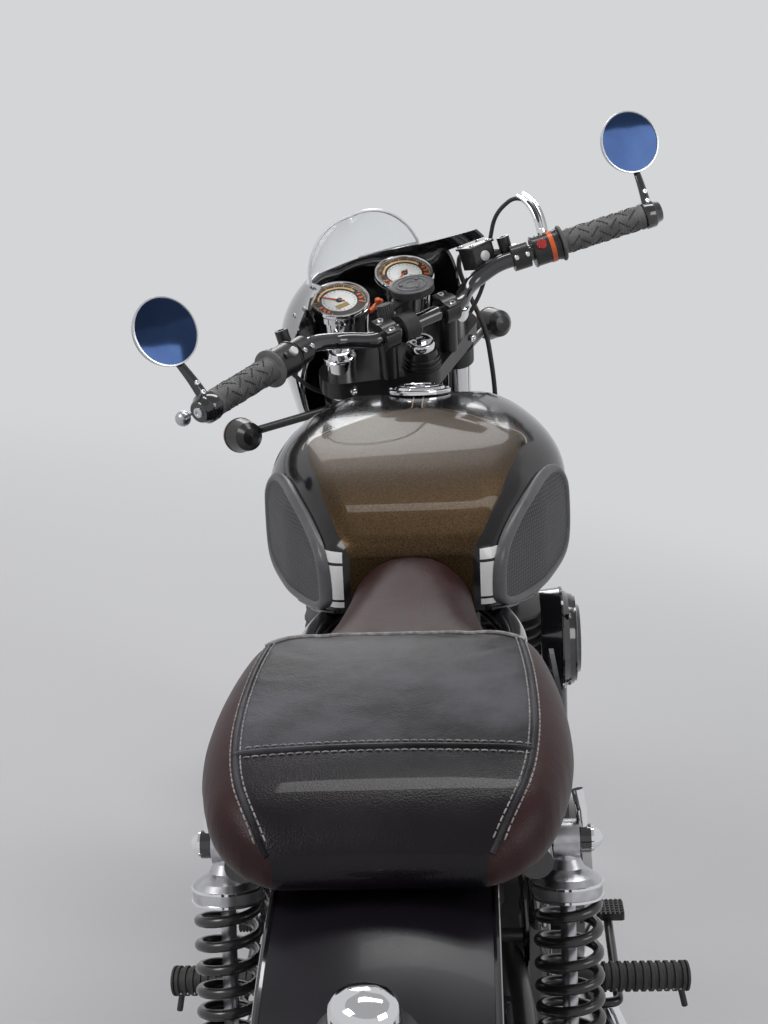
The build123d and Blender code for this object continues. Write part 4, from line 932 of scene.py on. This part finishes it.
def lamps():
    """Lenses of the tail light, the signals and the headlight, and the tail light's chrome crown."""
    tail, head, back, ahead = (-205, 0, 717), (1240, 0, 874), (-1, 0, 0), (1, 0, 0)
    bm = bmesh.new()
    ribs = [(56.2, 36.4)]
    for k in range(6):
        ribs += [(58.4 + k * 2.6, 36.2 - k * 0.9), (59.8 + k * 2.6, 36.6 - k * 0.9)]
    lathe(bm, tail, back, [*ribs, (75, 31.8), (79, 19.5), (79.4, 0)])
    lathe(bm, tail, back, [(52, 38.2), (52.6, 39.2), (56, 39.2), (57, 38.2), (57, 35)], 48, 1)
    crown = [(0, 20.5), (16, 20.5), (20, 19.6), (24, 16.4), (27, 10.4), (28.5, 0)]
    lathe(bm, (-232, 0, 738), (0, 0, 1), crown, 48, 1)
    piece("tail_lens", bm, "chassis", [smoke, chrome])
    lens = [(41, 24.4), (42.5, 24.2), (44.5, 23.8), (46, 23.4), (47.5, 23.2), (50.3, 22.2), (53.5, 16)]
    lens += [(56.4, 10), (56.8, 0)]
    collar = [(38.6, 24.2), (39, 25), (41, 25), (41.4, 24.2)]
    for name, (x, y, z), way, body in (
        ("front_signal_lenses", (1240, 222, 889), ahead, "steering"),
        ("rear_signal_lenses", (-160, 160, 658), back, "chassis"),
    ):
        bm = bmesh.new()
        for side in (1, -1):
            lathe(bm, (x, side * y, z), way, lens, 40)
            lathe(bm, (x, side * y, z), way, collar, 40, 1)
        piece(name, bm, body, [amber, satin_black])
    bm = bmesh.new()
    lathe(bm, head, ahead, [(96.5, 84.6), (100, 79), (104.4, 60), (106.6, 35), (107.6, 0)], 64)
    rim = [(82, 90.2), (83, 92.4), (95, 92.2), (97.6, 89), (98.4, 84.4), (96.6, 83.6)]
    lathe(bm, head, ahead, rim, 64, 1)
    reach = 74
    for z in span(-75, 75, 13):
        half = sqrt(max(reach**2 - z * z, 1))
        points = []
        for y in span(-half, half, 15):
            bulge = (y / reach) ** 2 + (z / reach) ** 2
            points.append(at(head[0] + 106.9 - 4.2 * bulge - 2.2 * bulge**2, y, head[2] + z))
        tube(bm, points, 1.1, 6, 2)
    piece("headlight_lens", bm, "steering", [lamp_face, chrome, lamp_line])


def gauge_faces():
    """Two dials: a dark ring with marks and a warm arc, a white centre, a small gold window and a needle."""
    face = Vector((-0.5, 0, 0.866)).normalized()
    up = Vector((0.866, 0, 0.5)).normalized()
    right = Vector((0, -1, 0))
    dark, white, cream, red, gilt, bright, black = range(7)
    bezel = [(2.4, 39.6), (3.2, 42.6), (5.6, 42.9), (8.2, 41.6), (8.4, 39.4), (6.6, 38.2), (4.4, 38)]
    bm = bmesh.new()
    for side in (1, -1):
        centre = Vector((1186, side * 55, 1023))
        lathe(bm, centre, face, [(3.6, 38.8), (4.5, 38.8), (4.6, 26), (4.6, 0)], 56, dark)
        lathe(bm, centre, face, [(4.4, 24.6), (5, 24.4), (5.1, 0)], 48, white)
        lathe(bm, centre, face, bezel, 56, bright)

        def spot(angle, radius, lift):
            turn = radians(angle)
            return centre + face * lift + (up * cos(turn) + right * sin(turn)) * radius

        for k, angle in enumerate(span(-130, 130, 49)):
            long = k % 4 == 0
            start, stop = spot(angle, 37, 5), spot(angle, 32 if long else 34.6, 5)
            rod(bm, start, stop, 0.55 if long else 0.35, 4, cream if -70 < angle < 60 or long else white)
        warm = [spot(angle, 29.2, 5) for angle in span(-62, 78, 40)]
        for start, stop in zip(warm, warm[1:]):
            rod(bm, start, stop, 1.7, 4, cream)
        for angle in (-118, -104, -90, 96, 112, 128):
            way = spot(angle, 34, 0) - spot(angle, 30, 0)
            brick(bm, spot(angle, 30, 5), (5, 3.4, 0.8), turn_to(way, face.cross(way)), red)
        for k in range(24):
            rod(bm, spot(k * 15, 22.6, 5.2), spot(k * 15, 20.6, 5.2), 0.35, 4, black)
        brick(bm, centre + face * 5.2 - up * 12.5 - right * 3, (19, 8.5, 0.8), turn_to(right, up), gilt)
        needle = -40 if side > 0 else -118
        line = [spot(needle, -8, 6.4) * MM, spot(needle, 0, 6.4) * MM, spot(needle, 31, 6) * MM]
        tube(bm, line, [1.2, 1.5, 0.4], 6, red)
        lathe(bm, centre, face, [(4.8, 4.6), (7, 4.4), (7.6, 3.2), (7.8, 0)], 24, black)
    # the orange knob and tab between the dials
    lathe(bm, (1158, 12, 1010), face, [(0, 4.4), (3, 4.4), (4.6, 3.4), (5, 0)], 20, red)
    rod(bm, (1164, 3, 1008), (1156, 30, 1002), 3.6, 12, red)
    mats = [dial_dark, dial_white, dial_cream, orange, gold, chrome, satin_black]
    piece("gauge_faces", bm, "steering", mats)


def mirror_heads():
    """Round bar-end mirrors: shell, thin rim, tinted glass, flat tapered arm, clamp and screws."""
    shell = [(0, 0), (0, 14), (2, 26), (5, 36), (9, 41.5), (13, 42.6), (15.4, 42.6), (15.4, 41.2)]
    clamp = [(0, 11.4), (0, 18), (1, 19), (13, 19), (15, 17.6), (17, 15.5), (23, 14), (24.4, 12.5), (24.4, 0)]
    bm = bmesh.new()
    for side in (1, -1):
        facing = Vector((-0.96, -0.18 * side, 0.2)).normalized()
        centre = Vector((1022, side * 366, 1102))
        back = centre - facing * 14
        lathe(bm, back, facing, shell, 64)
        lathe(bm, back, facing, [(13.6, 42.7), (15.6, 43.1), (17, 42.6), (17.2, 41), (15.6, 40.6)], 64, 1)
        lathe(bm, back, facing, [(14.6, 41.2), (15.9, 41), (16.3, 28), (16.5, 0)], 64, 2)
        end = on_bar(214.5, side)
        way = sided(GRIP_WAY, side)
        lathe(bm, end, way, clamp, 40)
        lathe(bm, end, way, [(24.2, 6.4), (26.2, 6.2), (26.8, 5.4), (26.8, 3), (25.4, 2.8), (25.4, 0)], 20, 1)
        root = end + way * 8 + Vector((0, 0, 15))
        elbow = root + Vector((4, side * 4, 26))
        points = [point for t, point in bow(root, elbow, centre - facing * 6 - Vector((0, 0, 26)), 14)]
        tube(bm, [point * MM for point in points], span(7.5, 4.9, 14), 14, 0, 0.62)
        for k in (1, 4):
            bolt(bm, points[k] + facing * 4.2, facing, 3.2, 2.6, 1)
    mats = [gloss_black, bright_rim, mirror_glass]
    piece("mirror_heads", bm, "steering", mats, ["mirrors"])


def grip_covers():
    """Ribbed rubber grips with a flange and slanting dark slashes."""
    outline = [(0, 11.3), (0, 23.6), (1.2, 25), (3, 25), (4.4, 23.4), (5.6, 17.6), (8, 16.2)]
    along = 9
    while along < 112:
        outline += [(along, 16.2), (along + 1.1, 16.9), (along + 2.3, 16.9), (along + 3.2, 16.2)]
        along += 4.2
    outline += [(114, 16.2), (117, 17.4), (120, 17.6), (121.8, 16.4), (122, 11.3)]
    bm = bmesh.new()
    for side in (1, -1):
        way = sided(GRIP_WAY, side)
        start = on_bar(92, side)
        lathe(bm, start, way, outline, 40)
        across, up = axes_of(way)
        for k in range(7):
            middle = start + way * (20 + 14 * k)
            slant = 0.34 if k % 2 else -0.34
            for turn in range(6):
                points = []
                for t in span(-1, 1, 5):
                    angle = radians(60 * turn + 24 * k) + slant * t
                    out = across * cos(angle) + up * sin(angle)
                    points.append((middle + way * 6.5 * t + out * 16.6) * MM)
                tube(bm, points, 0.95, 6, 1)
    piece("grip_covers", bm, "steering", [grip_rubber, matt_black], ["grips"])


def yoke_details(bm):
    """Bar clamp bolts, the stem cap, the fork caps and the yokes' pinch bolts."""
    for side in (1, -1):
        top = on_steering(1082.8, 6.3, side * 50)
        for x in (-13.5, 13.5):
            bolt(bm, top + fork_out * x + steer_dir * 12.5, steer_dir, 4.6, 5.4, 1)
        brick(bm, top + steer_dir * 14.2, (40, 21, 5), turn_to(fork_out, (0, 1, 0)), 0, 1.4)
    stem = on_steering(YOKE_HIGH + 62)
    cap = [(-11.6, 18.2), (-10, 19.2), (-2, 19.2), (0.4, 17.6), (0.8, 12), (0.4, 11.2), (0.4, 0)]
    lathe(bm, stem, steer_dir, cap, 40, 1)
    lathe(bm, stem, steer_dir, [(0.2, 7), (3.4, 6.6), (4.2, 5), (4.2, 0)], 6, 1)
    for k in range(3):
        ridge = [(-0.8, 25.6 - k), (0, 27.6 - k), (2, 27.6 - k), (2.8, 25.6 - k)]
        lathe(bm, on_steering(YOKE_HIGH + 27 + k * 6), steer_dir, ridge, 40)
    rim = [(-7, 20.7), (-6, 22.2), (-1, 22.2), (1, 20), (1.6, 15.4), (8.3, 14.6), (9, 13), (9, 8)]
    rim += [(6, 7.6), (6, 0)]
    for side in (1, -1):
        fork = on_steering(1046, FORK_OFFSET, side * FORK_SPREAD)
        lathe(bm, fork, steer_dir, rim, 40, 1)
        lathe(bm, fork, steer_dir, [(8.2, 4.4), (12.4, 4.2), (13, 3.2), (13, 0)], 12, 5)
        for level in (YOKE_LOW - 19, YOKE_HIGH + 13):
            place = on_steering(level, FORK_OFFSET - 33.5, side * (FORK_SPREAD + 4))
            bolt(bm, place, -fork_out, 5, 5, 1)


def perch_details(bm):
    """The perches' screws, the levers' pivots, the switch housings' rings, knobs and marks."""
    for side in (1, -1):
        middle = on_bar(34, side)
        way = sided(GRIP_WAY, side)
        out = (Vector((1, 0, 0)) - way * way.x).normalized()
        for gap in (-1, 1):
            bolt(bm, middle + way * 8 * gap - out * 17.2 + Vector((0, 0, 3)), -out, 3.4, 3.4, 1)
        bolt(bm, middle + Vector((50, side * 26, 6.5)), (0, 0, 1), 5.4, 3.6, 1)
        start = on_bar(52, side)
        for along in (1.5, 36.5):
            lathe(bm, start + way * along, way, [(-1.2, 21.2), (-0.8, 22), (0.8, 22), (1.2, 21.2)], 36)
        back = (-out + Vector((0, 0, 0.5))).normalized()
        knob = start + way * 12 + back * 20.4
        if side < 0:
            lathe(bm, start + way * 26.5, way, [(-3.4, 21.1), (-3.2, 21.9), (3.2, 21.9), (3.4, 21.1)], 36, 2)
            lathe(bm, knob, back, [(0, 7), (4, 7), (5, 6), (5.2, 0)], 20, 4)
        else:
            lathe(bm, knob, back, [(0, 6), (4, 6), (5, 5), (5.2, 0)], 20, 3)
            brick(bm, start + way * 25 + back * 21.6, (10, 8, 4), turn_to(way, back.cross(way)), 0, 1.2)
        for along in (8, 18, 32):
            brick(bm, start + way * along + Vector((0, 0, 21.3)), (3.4, 1.1, 0.5), turn_to(way, out), 3)


def bar_details():
    """Small parts at the bar: clamps, caps, switches and the master cylinder's lid and sight glass."""
    bm = bmesh.new()
    yoke_details(bm)
    perch_details(bm)
    brick(bm, (1134, -148, 1034.2), (38, 42, 3.6), None, 0, 1)
    for x in (1121, 1147):
        for y in (-162, -134):
            bolt(bm, (x, y, 1035.6), (0, 0, 1), 3.2, 2.4, 1)
    lathe(bm, (1115.9, -148, 1018), (-1, 0, 0), [(0, 7.4), (1.4, 7.2), (1.8, 5.4), (1.8, 0)], 24, 3)
    mats = [satin_black, chrome, orange, white_paint, red_lens, steel]
    piece("bar_details", bm, "steering", mats)


def lever_blades():
    """Flat curved levers with a ball at the tip, a pivot boss and a finger bend."""
    ball = [(10 - 10 * cos(radians(a)), max(10 * sin(radians(a)), 0.02)) for a in range(0, 181, 15)]
    bm = bmesh.new()
    for side in (1, -1):
        root = on_bar(34, side) + Vector((50, side * 26, 0))
        bend = root + Vector((4, side * 42, -5))
        tip = Vector((1076, side * 364, 986))
        points, radii = [root - Vector((4, side * 12, 0)), root], [7, 8.6]
        for t, point in bow(root, bend, tip, 14, 0.12, 0.94):
            points.append(point + Vector((3.4, 0, -3.2)) * sin(pi * t) * 1.6)
            radii.append(8.4 - 3.4 * t)
        points.append(tip)
        radii.append(4.6)
        tube(bm, [point * MM for point in points], radii, 14, 0, 0.62)
        way = (tip - points[-3]).normalized()
        lathe(bm, tip - way * 10, way, ball, 24)
        lathe(bm, root + Vector((0, 0, -8)), (0, 0, 1), [(0, 8), (1, 9), (15, 9), (16, 8), (16, 0)], 28, 1)
    piece("lever_blades", bm, "steering", [satin_alloy, satin_black], ["levers"], 50)


def cable_ends():
    """Chrome elbows and ferrules where the cables leave the bar."""
    bm = bmesh.new()
    first, bend, last = Vector((1076, -219, 1024)), Vector((1086, -231, 1062)), Vector((1112, -225, 1078))
    for lift in (0, 9):
        apart = Vector((-lift * 0.2, -lift, lift * 0.1))
        tube(bm, [(point + apart) * MM for t, point in bow(first, bend, last, 16)], 4)
    lathe(bm, first - Vector((0, 4, 3)), (0.2, -0.1, 1), [(0, 7), (8, 7), (9, 5.6), (9, 0)], 20)
    clutch = Vector((1141, 199, 1007))
    way = (Vector((1160, 186, 1000)) - clutch).normalized()
    lathe(bm, clutch - way * 2, way, [(0, 5.6), (10, 5.2), (12, 4), (12, 3)], 20)
    piece("cable_ends", bm, "steering", [chrome])


def screen_rim():
    """The clear screen's edge and its lip line, painted pale as their highlight, and the cowl's screws."""
    inset, foot, back, front = 1.7, 1061, 1183, 1262
    bm = bmesh.new()
    ring = rounded_ring(92 - inset, 960 + inset, 1131 - inset, 78.3, None, 24, 10)
    arch = [(y, z) for y, z in ring if z > foot]
    arch.sort(key=lambda point: -atan2(point[0], point[1] - 1045))
    tube(bm, [at(1181.4, y, z) for y, z in arch], 2.2, 10)
    for side in (1, -1):
        lip = []
        for t in span(0, 1, 24):
            lip.append(at(back + (front - back) * t, side * (90.5 - 32 * t - 24 * t * t), foot - 0.2))
        tube(bm, lip, 1.3, 8)
    for side in (1, -1):
        for x, z in ((1120, 1046), (1160, 1036), (1200, 1008)):
            half = 150 + (1180 - x) * 0.08
            place = Vector((x, side * (half - 6 - max(z - 960, 0) * 0.12), z))
            bolt(bm, place, (0, side, 0.3), 3.6, 2, 1)
    piece("screen_edge", bm, "steering", [screen_edge_highlight, steel])


def puck_rings():
    """Raised rings on the round mount's face and a knurled knob."""
    way = Vector((-0.3, 0, 0.954)).normalized()
    foot = Vector((1109, -17, 1009))
    outline = [(14.4, 30.4), (15.2, 30.4), (16, 29.2), (16, 26), (15.3, 25.4), (15.3, 22), (16.2, 21.4)]
    outline += [(16.2, 18.4), (15.4, 17.8), (15.4, 12), (16, 11.4), (16, 8.6), (15.4, 8), (15.4, 0)]
    bm = bmesh.new()
    lathe(bm, foot, way, outline, 64)
    across, up = axes_of(way)
    for angle in (radians(90 + 120 * k) for k in range(3)):
        place = foot + way * 15.4 + (across * cos(angle) + up * sin(angle)) * 14.8
        lathe(bm, place, way, [(0, 2.6), (1.2, 2.4), (1.4, 0)], 14)
    ridges = 20
    for angle in (2 * pi * k / ridges for k in range(ridges)):
        spoke = Vector((cos(angle), sin(angle), 0)) * 10.2
        rod(bm, Vector((1112, 30, 988)) + spoke, Vector((1110, 30, 1010)) + spoke, 1, 6)
    piece("puck_rings", bm, "steering", [puck_grey])


def peg_rubbers():
    """Ribbed rubbers on the rider's pegs and the pedals' tread pads."""
    bm = bmesh.new()
    for side in (1, -1):
        start, stop = Vector((557, side * 192, 306)), Vector((568, side * 289, 300))
        way = (stop - start).normalized()
        outline = [(1.5, 13.8), (2, 16.4), (4.4, 16.8), (5.4, 14.6)]
        along = 9
        while along < 90:
            outline += [(along, 14.5), (along + 0.8, 16.7), (along + 4.6, 16.7), (along + 5.6, 14.5)]
            along += 8.8
        outline += [(94, 14.5), (94.6, 16.9), (97, 16.6), (98.2, 13.4), (98.4, 0)]
        lathe(bm, start, way, outline, 36)
        for k in range(11):
            place = start + way * (8 + 8 * k) + Vector((-13.4, 0, -8))
            lathe(bm, place, (-0.8, 0, -0.5), [(0, 1.5), (0.9, 1.3), (1, 0)], 10, 1)
    for x in span(721, 751, 6):
        for y in span(-231, -203, 6):
            brick(bm, (x, y, 295.8), (3.6, 3.6, 2), None, 0, 0.5)
    for k in range(9):
        ring = 203 + k * 4
        lathe(bm, (726, ring, 284), (0, 1, 0), [(0, 8.9), (0.6, 10.2), (2.2, 10.2), (2.8, 8.9)], 24)
    piece("peg_rubbers", bm, "chassis", [rubber, steel])


def bolt_circle(bm, centre, radius, count, first, way, size, height):
    """Screws round a circle in a side view, starting at an angle."""
    x, y, z = centre
    for k in range(count):
        angle = 2 * pi * k / count + first
        bolt(bm, (x + cos(angle) * radius, y, z + sin(angle) * radius), way, size, height, 1)


def engine_trim():
    """Ridges and screws of the round cap on the right, and the side covers' screws."""
    x, y, z = 830, -142.5, 610
    bm = bmesh.new()
    for along, radius in ((26, 64.6), (41.6, 52.8)):
        ridge = [(along - 2, radius - 1), (along - 1, radius), (along + 1.4, radius), (along + 2, radius - 2)]
        lathe(bm, (x, y, z), (0, -1, 0), ridge, 64)
    for angle in (radians(45 + 90 * k) for k in range(4)):
        place = (x + cos(angle) * 59, y - 33, z + sin(angle) * 59)
        bolt(bm, place, (cos(angle) * 0.4, -0.9, sin(angle) * 0.4), 3.6, 3, 1)
    side = 104.3
    bolt_circle(bm, (715, -(side + 49), 345), 105, 8, 0.3, (0, -1, 0), 4.2, 4)
    bolt_circle(bm, (885, -(side + 39), 335), 77, 7, 0.3, (0, -1, 0), 4.2, 4)
    bolt_circle(bm, (885, side + 53, 335), 80, 7, 0.2, (0, 1, 0), 4.2, 4)
    for x, z in ((620, 290), (780, 262), (780, 420), (650, 424)):
        bolt(bm, (x, 131.6, z), (0, 1, 0), 4.6, 4.2, 1)
    piece("engine_trim", bm, "chassis", [gloss_black, steel])


def cap_details():
    """The fuel cap's rings, its six screws and its lock with a slot."""
    way = Vector((0.06, 0, 0.998)).normalized()
    foot = Vector((972, 0, 899.3))
    bm = bmesh.new()
    ring = [(2.4, 38.4), (3.4, 40.4), (4.6, 40.2), (5.4, 37.6), (5.4, 34.2), (4.4, 33.4)]
    lathe(bm, foot, way, ring, 64)
    lathe(bm, foot, way, [(8.4, 25.8), (9.6, 25.6), (10.2, 23.6), (10, 21), (9.2, 20.2), (9.2, 0)], 56)
    for k in range(6):
        angle = 2 * pi * k / 6 + 0.5
        spoke = Vector((cos(angle), sin(angle), -0.06 * cos(angle))) * 36.6
        bolt(bm, foot + way * 5 + spoke, way, 2.4, 1.4, 1)
    lathe(bm, foot + Vector((-8, 0, 0)), way, [(9.6, 8), (11, 7.6), (11.4, 6.4), (11.4, 0)], 28, 1)
    brick(bm, foot + Vector((-8, 0, 11.4)), (7, 1.2, 0.7), None, 2)
    piece("cap_details", bm, "chassis", [chrome, steel, satin_black])


seat()
tank()
knee_pads()
front_axle = joint_place("front_wheel_spin", STEERING)
rear_axle = joint_place("rear_wheel_spin", CHASSIS)
tyre("front_tyre_tread", front_axle, 318.6, 50, "front_wheel_set", "front_tyre")
tyre("rear_tyre_tread", rear_axle, 332.6, 65, "rear_wheel_set", "rear_tyre")
springs()
fender_trim()
lamps()
gauge_faces()
mirror_heads()
grip_covers()
bar_details()
lever_blades()
cable_ends()
screen_rim()
puck_rings()
peg_rubbers()
engine_trim()
cap_details()
camera()
stage()
